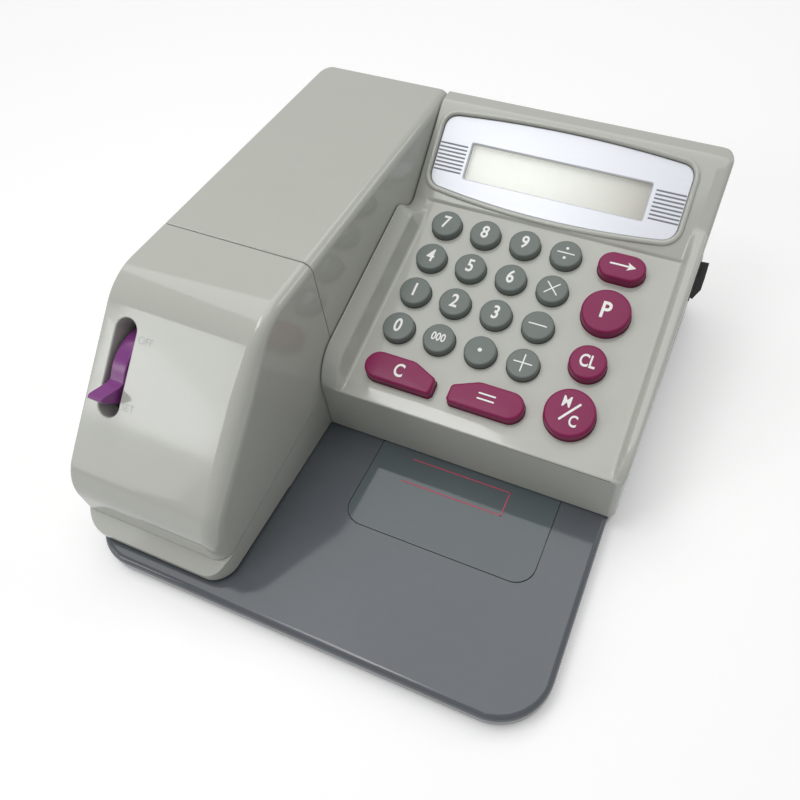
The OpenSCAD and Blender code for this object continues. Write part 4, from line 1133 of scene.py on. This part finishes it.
        def drawn_in(r: float) -> np.ndarray:
            """How far a back edge of radius r has come in at each station."""
            return r - np.sqrt(r ** 2 - np.clip(r - (y1 - y), 0, r) ** 2)
        low, high = x0 + drawn_in(self.back_r), x1 - drawn_in(self.back_right_r)
        top = z1 - drawn_in(self.back_edge_r)
        top[0] -= self.seam_ease
        t = np.linspace(0, np.pi / 2, 9)
        r_left, r_right = max(self.left_r - inset, 0.3), max(self.edge_r - inset, 0.3)
        left = low[:, None] + r_left * (1 - np.cos(t))
        right = high[:, None] - r_right * (1 - np.cos(t[::-1]))
        left_z = top[:, None] - r_left * (1 - np.sin(t))
        right_z = top[:, None] - r_right * (1 - np.sin(t[::-1]))
        ground = np.full((len(y), 1), foot)
        xs = np.concatenate([low[:, None], left, right, high[:, None]], axis=1)
        zs = np.concatenate([ground, left_z, right_z, ground], axis=1)
        return capped(np.stack([xs, np.broadcast_to(y[:, None], xs.shape), zs], axis=2))

    def rear_cover(self) -> None:
        """Rear cover: flat top, rounded back and one rounded corner."""
        (_, y0, z0), _ = self.lay.arm
        shell = mesh_piece("rear_cover_shell", *self.rear_skin(0.0, y0, z0))
        carve(shell, [self.rear_skin(self.lay.wall, y0 - 2, z0 - 2)])
        smooth(shell)
        finish_piece(shell, "shell", "frame", "shell", "arm_rear_cover")

    def lever(self) -> None:
        """Lever: a disc with a wedge-shaped finger tab.

        In its own plane, u up the slope and v outwards, the disc is a circle and the tab runs out
        between two angles to a rounded tip.
        """
        def polar(r: float, deg: float) -> tuple[float, float]:
            """Point at radius r, turned down the slope by deg."""
            return (-r * math.sin(math.radians(deg)), r * math.cos(math.radians(deg)))
        r = self.lever_r
        body = arc(0, 0, r, 90 + 44, 360 + 90 + 10, 90)
        tab = np.array([polar(r + 0.3, 15.5), polar(r + 2.0, 18.4), polar(26.6, 21.4), polar(27.6, 22.6),
                        polar(27.8, 24.4),
                        polar(27.0, 26.4), polar(22.6, 32.5), polar(19.6, 38.5), polar(r + 0.4, 42.5)])
        outline = np.concatenate([body, tab])
        shape = raised(outline, -self.lever_half, self.lever_half, 0.5, 0.5, steps=4)
        lever = mesh_piece("lever_body", *shape, self.axle_frame())
        finish_piece(smooth(lever, 30), "violet", "lever", "violet", "lever")

    def marks(self) -> None:
        """Faint OFF and SET beside the slot."""
        base = self.nose_frame()
        for text, x, up in (("OFF", 8.9, 11.8), ("SET", 8.0, -12.2)):
            flat_text(text, 2.9, 0.9, base, (x, up, 0.03), "faint", "front_cover", "shell",
                      f"mark_{text.lower()}")


# Height of a capital in Blender's own font, as a share of its size.
CAPITAL = 0.73


def flat_text(text: str, size: float, squeeze: float, where: np.ndarray, at: tuple, finish: str, body: str,
              slot: str, name: str, bold: float = 0.0, crown: Callable | None = None) -> bpy.types.Object:
    """Flat lettering as a mesh, centred on a point.

    Args:
        text: the characters.
        size: height of a capital letter in millimetres.
        squeeze: width as a share of the font's own.
        where: frame of the face.
        at: middle of the text in that frame.
        finish, body, slot: as in finish_piece.
        name: the piece's name.
        bold: growth of the strokes as a share of the size.
        crown: function giving the face's height at (u, v), or None for a flat one.
    Returns:
        The new piece.
    """
    curve = bpy.data.curves.new(name, "FONT")
    curve.body = text
    curve.size = size / CAPITAL
    curve.align_x = "CENTER"
    curve.resolution_u = 4
    curve.offset = bold * size
    maker = bpy.data.objects.new(name, curve)
    bpy.context.scene.collection.objects.link(maker)
    graph = bpy.context.evaluated_depsgraph_get()
    graph.update()
    mesh = bpy.data.meshes.new_from_object(maker.evaluated_get(graph), depsgraph=graph)
    bpy.data.objects.remove(maker)
    bpy.data.curves.remove(curve)
    points = np.empty(len(mesh.vertices) * 3)
    mesh.vertices.foreach_get("co", points)
    points = points.reshape(-1, 3)
    low, high = points.min(axis=0), points.max(axis=0)
    points = points - (low + high) / 2
    points[:, 0] *= squeeze
    points += np.array(at)
    mesh.vertices.foreach_set("co", (points if crown else placed(points, where) * MM).ravel())
    mesh.update()
    piece = bpy.data.objects.new(name, mesh)
    bpy.context.scene.collection.objects.link(piece)
    if crown:
        draped(piece, where, crown)
    return finish_piece(piece, finish, body, slot)


# ---------------------------------------------------------------------------------------------
# the keypad housing
# ---------------------------------------------------------------------------------------------
@dataclass
class Housing:
    """Keypad housing: sunken panel between two rims, display face and flat top."""

    lay: Layout
    recess_left: float = 8.4
    recess_right: float = 117.8
    rim: float = 6.2
    ridge_left: float = 7.6
    ridge_w: float = 6.0
    flank: float = 11.4
    taper: float = 2.6
    front_r: float = 3.0
    back_r: float = 8.0
    top_r: float = 3.0
    rim_r: float = 12.0
    lip_floor: float = 0.5
    lip_len: float = 5.0
    lip_turn: float = 8.0
    sink: float = 0.6
    bezel_t: float = 1.0
    skirt_len: float = 40.0
    skirt_lift: float = 0.9
    edge_radii: tuple = (0.0, 0.5, 2.6, 1.9, 1.6, 1.8, 4.6, 0.0)
    crest_soft: float = 1.2
    fall_len: float = 17.0

    def stations(self) -> np.ndarray:
        """Places along Y, close together where the shape turns."""
        y0, y1 = self.lay.house[0][1], self.lay.house[1][1]
        head = self.lay.display_foot[0]
        bend = 1 - np.cos(np.linspace(0, np.pi / 2, 9))
        crest = head + (self.lay.top - self.lay.display_foot[1]) / math.tan(self.lay.display_slope)
        parts = [y0 + self.lip_floor * bend, y0 + self.lip_len + np.array([-0.3, 0.3]),
                 y0 + self.front_r * bend, y0 + self.rim_r * bend, y1 - self.back_r * bend,
                 y1 - self.top_r * bend, np.arange(y0 + 12, y1 - 8, 3.0), head + np.linspace(-0.9, 0.9, 9),
                 crest + np.linspace(-4, 4, 13), np.linspace(head - 18, head + 12, 26)]
        every = np.unique(np.round(np.concatenate(parts), 3))
        keep = np.concatenate([[True], np.diff(every) > 0.04])
        return every[keep]

    def upper(self, y: np.ndarray) -> np.ndarray:
        """Display face and flat top, blended: the lower of the two with a rounded crest."""
        slope = self.lay.display_foot[1] + (y - self.lay.display_foot[0]) * math.tan(self.lay.display_slope)
        return 0.5 * (slope + self.lay.top - np.sqrt((slope - self.lay.top) ** 2 + self.crest_soft ** 2))

    def section_corners(self, y: np.ndarray) -> np.ndarray:
        """Corners (x, z) of the cross-section at each station.

        Args:
            y: stations.
        Returns:
            Array (stations, 8, 2).
        """
        lay = self.lay
        (x0, y0, _), (x1, y1, z1) = lay.house
        head = lay.display_foot[0]
        panel = lay.panel_foot[1] + (y - y0) * math.tan(lay.panel_slope)
        upper = self.upper(y)
        step = np.clip((y - head + 0.35) / 0.7, 0, 1)
        step = step * step * (3 - 2 * step)
        floor = panel * (1 - step) + upper * step
        tilt = math.tan(lay.panel_slope + math.radians(self.lip_turn)) - math.tan(lay.panel_slope)
        floor = floor - tilt * np.clip(self.lip_len - (y - y0), 0, None)
        nose = np.clip(self.lip_floor - (y - y0), 0, None)
        floor = floor - (self.lip_floor - np.sqrt(self.lip_floor ** 2 - nose ** 2))
        roll = np.clip(self.rim_r - (y - y0), 0, None)
        drop = self.rim_r - np.sqrt(self.rim_r ** 2 - roll ** 2)
        fall = np.clip((y - (head - self.fall_len)) / self.fall_len, 0, 1)
        fall = fall * fall * (3 - 2 * fall)
        right = np.maximum(np.maximum(panel + self.rim - drop, upper), floor)
        ridge = np.maximum((panel + self.ridge_left) * (1 - fall) + upper * fall - drop, floor)
        flank = np.maximum((panel + self.flank) * (1 - fall) + upper * fall - drop * 1.1, floor)
        back = np.clip(self.top_r - (y1 - y), 0, None)
        droop = self.top_r - np.sqrt(self.top_r ** 2 - back ** 2)
        wall = x1 - self.taper * (y1 - y) / (y1 - y0)
        round_back = np.clip(self.back_r - (y1 - y), 0, None)
        wall = wall - (self.back_r - np.sqrt(self.back_r ** 2 - round_back ** 2))
        round_front = np.clip(self.front_r - (y - y0), 0, None)
        wall = wall - (self.front_r - np.sqrt(self.front_r ** 2 - round_front ** 2))
        low = np.where(y < y0 + self.skirt_len, lay.tray_top + self.skirt_lift, lay.tray_top)
        full = np.ones_like(y)
        xs = [x0 * full, x0 * full, (x0 + self.ridge_w) * full, (x0 + self.recess_left) * full,
              (x0 + self.recess_right) * full,
              np.minimum(x0 + self.recess_right + 1.6, wall - 2.0), wall, wall]
        zs = [low, flank - droop, ridge - droop, floor - droop, floor - droop, right - droop,
              np.minimum(right, z1) - droop - 0.25, low]
        return np.stack([np.stack(xs, axis=1), np.stack(zs, axis=1)], axis=2)

    def skin(self) -> tuple[np.ndarray, list]:
        """Cross-sections with rounded corners, carried along Y and capped at both ends."""
        y = self.stations()
        radii = np.array(self.edge_radii)
        path = rounded_path(self.section_corners(y), radii, 6)
        grid = np.stack([path[:, :, 0], np.broadcast_to(y[:, None], path.shape[:2]), path[:, :, 1]], axis=2)
        return capped(grid)

    def hollow(self) -> tuple[np.ndarray, list]:
        """Inside of the shell, a prism below the panel, display and top."""
        lay = self.lay
        wall = lay.wall
        y0, y1 = lay.house[0][1] + wall, lay.house[1][1] - wall
        ta, tb = math.tan(lay.panel_slope), math.tan(lay.display_slope)
        low = wall / math.cos(lay.panel_slope)
        deep = (wall + self.sink + self.bezel_t) / math.cos(lay.display_slope)
        top = lay.top - wall
        panel_z = lay.panel_foot[1] - low
        display_z = lay.display_foot[1] - deep
        meet = ((display_z - tb * lay.display_foot[0]) - (panel_z - ta * lay.panel_foot[0])) / (ta - tb)
        crest = lay.display_foot[0] + (top - display_z) / tb
        z0 = lay.tray_top - 1
        meet_z, low_z = (panel_z + ta * (y - lay.panel_foot[0]) for y in (meet, y0))
        outline = np.array([[y0, z0], [y1, z0], [y1, top], [crest, top], [meet, meet_z], [y0, low_z]])
        x0 = lay.house[0][0] + wall
        x1 = lay.house[1][0] - self.taper - wall
        points, faces = raised(outline, x0, x1, 0.0, steps=1)
        return placed(points, across()), faces


@dataclass
class Display:
    """Bezel, stripes, lens and display glass on the sloping face."""

    lay: Layout
    width: float = 108.0
    left: float = 4.2
    low: float = 6.8
    high: float = 30.4
    sag: float = 3.9
    rise: float = 2.7
    corner: float = 5.0
    lcd_w: float = 78.5
    lcd_h: float = 15.5
    lcd_low: float = 11.9
    lip_w: float = 2.2
    lip_h: float = 0.9
    stripe_count: int = 8
    stripe_low: float = 13.6
    stripe_high: float = 25.2
    stripe_w: float = 0.75

    def face(self) -> np.ndarray:
        """Frame on the display face."""
        return tilted(self.lay.house[0][0], self.lay.display_foot, self.lay.display_slope)

    def outline(self, grow: float) -> np.ndarray:
        """Bowed rectangle with rounded corners, grown by an amount.

        The lower edge is low - sag (1 - u^2) and the upper one low + high + rise (1 - u^2), where
        u runs from -1 to 1 across the plate.
        """
        u = np.linspace(-1, 1, 25)
        x = self.left + self.width * (u + 1) / 2
        lower = np.column_stack([x, self.low - self.sag * (1 - u ** 2)])
        upper = np.column_stack([x, self.low + self.high + self.rise * (1 - u ** 2)])[::-1]
        loop = self.corners_rounded(np.concatenate([lower, upper]))
        return loop - normals_of(loop) * grow

    def corners_rounded(self, loop: np.ndarray) -> np.ndarray:
        """The loop with a quadratic curve at each of its four corners, as long as `corner` on both sides."""
        out = []
        n = len(loop)
        turns = [0, n // 2 - 1, n // 2, n - 1]
        for i in range(n):
            if i in turns:
                p, a, b = loop[i], loop[i - 1], loop[(i + 1) % n]
                long_a = (a - p) / np.linalg.norm(a - p)
                long_b = (b - p) / np.linalg.norm(b - p)
                t = np.linspace(0, 1, 9)[:, None]
                s, e = p + long_a * self.corner, p + long_b * self.corner
                out.append((1 - t) ** 2 * s + 2 * t * (1 - t) * (p * 0.85 + (s + e) * 0.075) + t ** 2 * e)
            elif np.linalg.norm(loop[i] - loop[turns], axis=1).min() > self.corner + 0.3:
                out.append(loop[i][None])
        return np.concatenate(out)

    def window(self, grow: float, r: float = 0.8) -> np.ndarray:
        """Rectangle of the display window."""
        shape = box_outline(self.lcd_w + 2 * grow, self.lcd_h + 2 * grow, r, 4)
        return shape + np.array([self.left + self.width / 2, self.lcd_low + self.lcd_h / 2])

    def tools(self, sink: float, bezel_t: float, wall: float) -> list:
        """Cutters of the bezel's seat and the display window."""
        seat = raised(self.outline(0.15), -sink - bezel_t, 4.0, 0.0, steps=1)
        port = raised(self.window(0.5), -sink - bezel_t - wall - 3, -sink, 0.0, steps=1)
        pocket = raised(self.window(2.2), -sink - bezel_t - 1.3, -sink, 0.0, steps=1)
        return [(placed(p, self.face()), f) for p, f in (seat, port, pocket)]

    def build(self, sink: float, bezel_t: float) -> None:
        """Lip, bezel, stripes, lens and display glass."""
        where = self.face()
        base = self.outline(0.1)
        inward = normals_of(base)
        t = np.linspace(0, np.pi, 11)
        half = self.lip_w / 2
        hump = np.column_stack([-half - half * np.cos(t), self.lip_h * np.sin(t) ** 0.7])
        section = np.concatenate([hump[::-1], [[-self.lip_w, -0.5], [0.0, -0.5]]])
        lip = mesh_piece("display_lip", *swept(base, inward, section), where)
        finish_piece(smooth(lip, 50, Shading.EVEN), "shell", "frame", "shell")
        plate = raised(self.outline(-0.15), -sink - bezel_t, -sink, 0.35, steps=3)
        bezel = mesh_piece("display_bezel_plate", *plate, where)
        flare = [(0.0, -sink - bezel_t - 1), (0.0, -sink - 0.45), (0.45, -sink + 0.02), (0.45, 1.0)]
        points, faces = capped(at_levels(self.window, flare))
        carve(bezel, [(placed(points, where), faces)])
        finish_piece(smooth(bezel, 25), "bezel", "frame", "bezel", "display_bezel")
        bars = []
        for start, end in ((self.left + 0.5, self.left + 13.2), (self.left + 95.2, self.left + 107.5)):
            for i in range(self.stripe_count):
                y = self.stripe_low + i * (self.stripe_high - self.stripe_low) / (self.stripe_count - 1)
                bar = box_outline(end - start, self.stripe_w, 0.2, 2) + np.array([(start + end) / 2, y])
                bars.append(raised(bar, -sink - 0.05, -sink + 0.05, 0.04, steps=1))
        stripes = mesh_piece("bezel_stripes", *joined(bars), where)
        finish_piece(stripes, "stripe", "frame", "bezel")
        pane = raised(self.window(2.0), -sink - bezel_t - 1.2, -sink - bezel_t, 0.15, steps=2)
        lens = mesh_piece("display_window", *pane, where)
        finish_piece(smooth(lens), "lens", "frame", "lens", "display_lens")
        glass = frame["nodes"]["lcd_module"]
        x_left = (self.lay.house[0][0] + self.left + (self.width - self.lcd_w) / 2) * MM
        finish = LiquidCrystal("display_glass", srgb(243, 244, 239), srgb(183, 179, 172), x_left,
                               x_left + self.lcd_w * MM)
        glass.data.materials.clear()
        glass.data.materials.append(finish.make())


# ---------------------------------------------------------------------------------------------
# the keys
# ---------------------------------------------------------------------------------------------
@dataclass
class Keys:
    """Sixteen small keys and six large ones, each with its printed figure."""

    lay: Layout
    pitch: tuple = (17.6, 17.27)
    first: tuple = (20.2, 32.4)
    small_d: float = 12.9
    small_top: float = 3.3
    large_top: float = 4.6
    foot: float = -3.8
    column: float = 76.0
    heights: tuple = (18.5, 40.1, 63.1, 84.2)
    gap: float = 0.28
    hole_down: float = 6.0
    hole_up: float = 2.0
    flange_w: float = 1.0
    flange_t: float = 1.1
    wide: tuple = (29.5, 11.6)
    wide_y: float = 13.9
    wide_gap: float = 6.6
    cut: tuple = (10.6, 4.3)
    round_d: float = 19.4
    correct_d: float = 14.5
    arrow_size: tuple = (19.2, 12.0, 5.99)
    names: tuple = ("0", "000", "point", "plus", "1", "2", "3", "minus", "4", "5", "6", "times",
                    "7", "8", "9", "divide")

    def face(self) -> np.ndarray:
        """Frame on the panel."""
        return tilted(self.lay.house[0][0], self.lay.panel_foot, self.lay.panel_slope)

    def wide_outline(self) -> np.ndarray:
        """Left wide key: round left end, cut upper right corner, eased corners."""
        w, d = self.wide
        r = d / 2
        corners_ = [[w - 1.2, 0], [w, 1.2], [w, d - self.cut[1] - 0.8], [w - 0.7, d - self.cut[1] + 0.2],
                    [w - self.cut[0] + 1.0, d - 0.25], [w - self.cut[0] - 0.6, d]]
        outline = np.concatenate([arc(r, r, r, 90, 270, 24), corners_])
        return outline - np.array([w / 2, d / 2])

    def shapes(self) -> dict[str, tuple[np.ndarray, tuple, float]]:
        """Outline, place and top of every key by node name."""
        found = {}
        for i, name in enumerate(self.names):
            at = (self.first[0] + (i % 4) * self.pitch[0], self.first[1] + (i // 4) * self.pitch[1])
            found["key_" + name] = (ring(self.small_d / 2, 56), at, self.small_top)
        x = self.first[0] + self.column
        for name, y, d in (("memory", self.heights[0], self.round_d), ("correct", self.heights[1], self.correct_d),
                           ("print", self.heights[2], self.round_d)):
            found["key_" + name] = (ring(d / 2, 72), (x, y), self.large_top)
        found["key_arrow"] = (box_outline(*self.arrow_size, 14), (x, self.heights[3]), self.large_top)
        left = self.first[0] - self.wide[1] / 2 + self.wide[0] / 2
        found["key_clear"] = (self.wide_outline(), (left, self.wide_y), self.large_top)
        right = self.wide_outline() * np.array([-1, 1])
        found["key_equals"] = (right[::-1], (left + self.wide[0] + self.wide_gap, self.wide_y),
                               self.large_top)
        return found

    def tools(self) -> list:
        """Cutters of the key holes."""
        made = []
        for outline, at, _ in self.shapes().values():
            hole = outline - normals_of(outline) * self.gap + np.array(at)
            points, faces = raised(hole, -self.hole_down, self.hole_up, 0.0, steps=1)
            made.append((placed(points, self.face()), faces))
        return made

    def crown(self, outline: np.ndarray, at: tuple, rise: float) -> Callable:
        """Height of a key's dome at (u, v), by the distance from its middle as a share of its edge."""
        span = np.abs(outline).max(axis=0)

        def height(u: np.ndarray, v: np.ndarray) -> np.ndarray:
            """Dome height."""
            s2 = ((u - at[0]) / span[0]) ** 2 + ((v - at[1]) / span[1]) ** 2
            return rise * np.clip(1 - s2, 0, 1)
        return height

    def build(self) -> None:
        """All keys and their figures."""
        for node, (outline, at, top) in self.shapes().items():
            large = top > self.small_top
            rise = 0.35 if large else 0.3
            skirt = raised(outline + np.array(at), self.foot, top, 1.1 if large else 0.9, crown=rise)
            wider = outline - normals_of(outline) * self.flange_w + np.array(at)
            flange = raised(wider, self.foot, self.foot + self.flange_t, 0.2, 0.2, steps=2)
            key = mesh_piece(node + "_cap", *joined([skirt, flange]), self.face())
            tone = "purple_key" if large else "grey_key"
            finish_piece(smooth(key, 35, Shading.EVEN), tone, node, tone, node)
            self.figure(node, outline, at, top, rise, tone)

    def figure(self, node: str, outline: np.ndarray, at: tuple, top: float, rise: float, slot: str) -> None:
        """Printed figure of one key."""
        dome = self.crown(outline, at, rise)
        lift = top + 0.05
        face = self.face()
        words = {"key_000": ("000", 3.6, 0.8, 0.03), "key_clear": ("C", 5.6, 0.78, 0.03),
                 "key_correct": ("CL", 5.4, 0.72, 0.03), "key_print": ("P", 7.4, 0.8, 0.03)}
        if node in words or node[4:].isdigit():
            text, size, squeeze, bold = words.get(node, (node[4:], 6.0, 0.8, 0.03))
            shift = 0.3 if node[4:].isdigit() else 0.0
            flat_text(text, size, squeeze, face, (at[0], at[1] + shift, lift), "legend", node, slot,
                      node + "_figure", bold, dome)
            return
        if node == "key_memory":
            for text, u, v, bold in (("M", -2.2, 3.6, 0.015), ("C", 2.2, -3.2, 0.03)):
                flat_text(text, 4.6, 0.75, face, (at[0] + u, at[1] + v, lift), "legend", node, slot,
                          f"{node}_figure_{text.lower()}", bold, dome)
        strokes = {"key_plus": [(0, 0, 7.6, 0.55, 0), (0, 0, 0.55, 7.6, 0)],
                   "key_minus": [(0, 0, 7.6, 0.55, 0)],
                   "key_times": [(0, 0, 7.6, 0.55, 45), (0, 0, 7.6, 0.55, -45)],
                   "key_divide": [(0, 0, 7.4, 0.55, 0), (0, 2.3, 1.3, 1.3, 0), (0, -2.3, 1.3, 1.3, 0)],
                   "key_point": [(0, 0, 1.7, 1.7, 0)],
                   "key_equals": [(0, 1.1, 7.0, 0.65, 0), (0, -1.1, 7.0, 0.65, 0)],
                   "key_memory": [(0, 0, 10.3, 0.9, 53)],
                   "key_arrow": [(-0.6, 0, 9.0, 0.8, 0)]}[node]
        bars = []
        for u, v, w, d, turn in strokes:
            bar = box_outline(w, d, min(w, d) / 2 - 0.01, 6)
            c, s = math.cos(math.radians(turn)), math.sin(math.radians(turn))
            bars.append(bar @ np.array([[c, s], [-s, c]]) + np.array([u + at[0], v + at[1]]))
        if node == "key_arrow":
            bars.append(np.array([[5.6, 0], [2.0, 1.9], [2.9, 0.0], [2.0, -1.9]]) + np.array(at))
        flat = [(np.column_stack([bar, np.full(len(bar), lift)]), [list(range(len(bar)))]) for bar in bars]
        points, faces = joined(flat)
        piece = mesh_piece(node + "_figure", points / MM, faces)
        finish_piece(draped(piece, face, dome), "legend", node, slot)


# ---------------------------------------------------------------------------------------------
# the tray and the rest
# ---------------------------------------------------------------------------------------------
@dataclass
class Tray:
    """Tray with its clear guide window and the red guide lines."""

    lay: Layout
    window_r: float = 8.0
    guide: tuple = (19.5, 61.7, -44.9, -34.2)
    guide_shift: tuple = (-13.0, 5.2)
    line: float = 0.45
    inset: float = 2.2
    side_taper: float = 2.6
    corner_cut: float = 8.0

    def corner_tool(self) -> tuple[np.ndarray, list]:
        """Cutter of the base's front right corner, from the tray's edge out to the housing's side."""
        edge = self.lay.house[1][0] - self.side_taper - self.inset
        y0 = self.lay.house[0][1]
        outline = np.array([[edge, y0 - 1], [edge + 2 * self.inset, y0 - 1],
                            [edge + 2 * self.inset, y0 + 2 * self.corner_cut], [edge, y0]])
        return raised(outline, -1.0, self.lay.tray_top + 1, 0.0, steps=1)

    def build(self) -> None:
        """Tray, window and lines."""
        tray = smooth(carve(softened("base_tray", "tray_shell", 0.35), [self.corner_tool()]), 38)
        finish_piece(tray, "tray", "frame", "tray", "base_tray")
        low, high = corners("guide_window")
        r = self.window_r
        outline = np.concatenate([arc(low[0] + r, low[1] + r, r, 180, 270, 16),
                                  arc(high[0] - r, low[1] + r, r, 270, 360, 16),
                                  [[high[0], high[1]], [low[0], high[1]]]])
        plate = raised(outline, low[2], high[2] + 0.12, 0.25, steps=3)
        window = mesh_piece("guide_window_plate", *plate)
        finish_piece(smooth(window), "window", "frame", "window", "guide_window")
        x0, x1, y0, y1 = self.guide
        dx, dy = self.guide_shift
        z = high[2] + 0.14
        lines = []
        for a, b, c, d in ((x0, y0, x1, y0), (x0, y1, x1, y1), (x1, y0, x1, y1)):
            middle = np.array([(a + c) / 2 + dx, (b + d) / 2 + dy])
            bar = box_outline(abs(c - a) + self.line, abs(d - b) + self.line, 0.1, 1) + middle
            lines.append(raised(bar, z, z + 0.03, 0.0, steps=1))
        marks = mesh_piece("guide_lines", *joined(lines))
        finish_piece(marks, "red", "frame", "window")


class Fittings:
    """Pieces that keep their construction shape and only take a finish."""

    eased = {"switch_frame": ("black", "frame", "black", 0.25),
             "rocker_switch": ("black", "rocker", "black", 0.5),
             "arm_lower_jaw": ("shell", "frame", "shell", 0.6),
             "battery_door": ("tray", "battery_door", "tray", 0.3),
             "rubber_feet": ("rubber", "frame", "rubber", 0.5)}
    plain = {"lever_axle": "steel", "key_mat": "mat", "main_board": "board", "dc_jack": "black",
             "battery_box": "inner", "battery_contacts": "steel", "case_screws": "steel",
             "print_frame": "steel",
             "print_wheel": "inner", "print_shaft": "steel", "wheel_gear": "gear", "ink_roller": "felt",
             "ink_shaft": "steel", "feed_roller": "rubber", "feed_gear": "gear", "idler_gear": "gear",
             "motor": "can", "motor_pinion": "gear", "pinch_roller": "rubber"}

    def build(self) -> None:
        """Finishes every remaining node."""
        for node, (finish, body, slot, width) in self.eased.items():
            piece = softened(node, node + "_moulding", width)
            finish_piece(piece, finish, body, slot, node)
        for node, finish in self.plain.items():
            mesh = frame["nodes"][node].data
            mesh.materials.clear()
            mesh.materials.append(paint(finish))


# ---------------------------------------------------------------------------------------------
# stage
# ---------------------------------------------------------------------------------------------
def stand(side: np.ndarray, up: np.ndarray, back: np.ndarray, at: tuple) -> Matrix:
    """Matrix of a lamp or camera from its own three axes and its place."""
    turned = np.eye(4)
    turned[:3] = np.column_stack([side, up, back, at])
    return Matrix(turned.tolist())


@dataclass(frozen=True)
class Lamp:
    """Area lamp that faces the machine."""

    name: str
    at: tuple
    size: tuple
    power: float
    aim: tuple = (0.0, 0.0, 0.03)
    roll: float = 0.0

    def place(self) -> None:
        """Adds the lamp."""
        data = bpy.data.lights.new(self.name, "AREA")
        data.shape = "RECTANGLE"
        data.size, data.size_y = self.size
        data.energy = self.power
        lamp = bpy.data.objects.new(self.name, data)
        where = np.array(self.at)
        back = where - np.array(self.aim)
        back = back / np.linalg.norm(back)
        side = np.cross([0, 0, 1.0], back)
        side = side / np.linalg.norm(side)
        turn = math.radians(self.roll)
        side = side * math.cos(turn) + np.cross(back, side) * math.sin(turn)
        up = np.cross(back, side)
        lamp.matrix_world = stand(side, up, back, where)
        lamp.visible_camera = False
        bpy.context.scene.collection.objects.link(lamp)


@dataclass
class Studio:
    """Floor, lamps, world and camera."""

    camera_at: tuple = (0.0878836, -0.158344, 0.2506347)
    ahead: tuple = (-0.24024111, 0.54752611, -0.80156058)
    right: tuple = (0.92451508, 0.38076613, -0.01700075)
    focal_px: float = 693.61
    middle_px: tuple = (466.79, 400.9)
    picture_px: float = 800.0
    sensor: float = 36.0
    gloss_level: float = 0.62
    ambient_level: float = 0.34
    lamps: tuple = (
        Lamp("soft_box", (-1.16, -1.27, 0.98), (0.40, 0.36), 1.8, (-0.06, -0.06, 0.06), 20.0),
        Lamp("strip_box", (-0.106, -0.125, 0.452), (0.18, 0.10), 0.28, (0.01, -0.024, 0.036)),
        Lamp("overhead", (-0.25, 0.25, 1.5), (1.6, 1.6), 13.5),
        Lamp("front_left", (-1.5, -1.3, 0.7), (1.0, 0.8), 3.5),
        Lamp("back_right", (1.2, 1.2, 1.0), (0.9, 0.6), 3.5))

    def build(self) -> None:
        """Makes the stage."""
        scene = bpy.context.scene
        scene.view_settings.view_transform = "Standard"
        for lamp in self.lamps:
            lamp.place()
        self.floor()
        self.world()
        self.camera()

    def floor(self) -> None:
        """Plain pale floor under the machine."""
        half = 3000.0
        points = np.array([[-half, -half, 0], [half, -half, 0], [half, half, 0], [-half, half, 0.0]])
        floor = mesh_piece("floor", points, [[0, 1, 2, 3]])
        floor.data.materials.append(Seamless("floor_white").make())

    def world(self) -> None:
        """World: white to camera and gloss, softer as a lamp."""
        world = bpy.data.worlds.new("studio")
        bpy.context.scene.world = world
        g = Graph(world)
        camera, clear, gloss = (g.node("ShaderNodeLightPath", out=f"Is {kind} Ray")
                                for kind in ("Camera", "Transmission", "Glossy"))
        level = camera.most(clear).most(gloss * self.gloss_level).most(self.ambient_level)
        g.finish(g.node("ShaderNodeBackground", {}, {"Strength": level}))

    def camera(self) -> None:
        """Camera of the photograph's view, with its off-centre middle as a lens shift."""
        data = bpy.data.cameras.new("camera")
        data.sensor_width = self.sensor
        data.lens = self.focal_px / self.picture_px * self.sensor
        half = self.picture_px / 2
        data.shift_x = -(self.middle_px[0] - half) / self.picture_px
        data.shift_y = (self.middle_px[1] - half) / self.picture_px
        data.clip_start = 0.01
        camera = bpy.data.objects.new("camera", data)
        r = np.array(self.right)
        b = -np.array(self.ahead)
        r = r - b * (r @ b)
        r = r / np.linalg.norm(r)
        u = np.cross(b, r)
        camera.matrix_world = stand(r, u, b, self.camera_at)
        bpy.context.scene.collection.objects.link(camera)
        bpy.context.scene.camera = camera


def switch_port(ease: float = 0.1, inside: float = 1.0, outside: float = 6.0) -> tuple[np.ndarray, list]:
    """Cutter of the rocker frame's opening in the housing's side.

    Args:
        ease: room round the frame.
        inside, outside: how far the cutter passes the frame along X.
    Returns:
        Points and faces.
    """
    low, high = corners("switch_frame")
    (_, y0, z0), (_, y1, z1) = low - ease, high + ease
    outline = np.array([[y0, z0], [y1, z0], [y1, z1], [y0, z1]])
    points, faces = raised(outline, low[0] - inside, high[0] + outside, 0.0, steps=1)
    return placed(points, across()), faces


def main() -> None:
    """Builds the stage and every sub-assembly."""
    logging.basicConfig(level=logging.INFO, format="%(message)s")
    lay = Layout()
    Studio().build()
    arm = Arm(lay)
    arm.rear_cover()
    arm.front_cover()
    arm.lever()
    arm.marks()
    housing, display, keys = Housing(lay), Display(lay), Keys(lay)
    body = mesh_piece("housing_shell", *housing.skin())
    tools = [housing.hollow(), switch_port()]
    tools += display.tools(housing.sink, housing.bezel_t, lay.wall) + keys.tools()
    carve(body, tools)
    smooth(body)
    finish_piece(body, "shell", "frame", "shell", "keypad_housing")
    display.build(housing.sink, housing.bezel_t)
    keys.build()
    Tray(lay).build()
    Fittings().build()


if __name__ == "__main__":
    main()
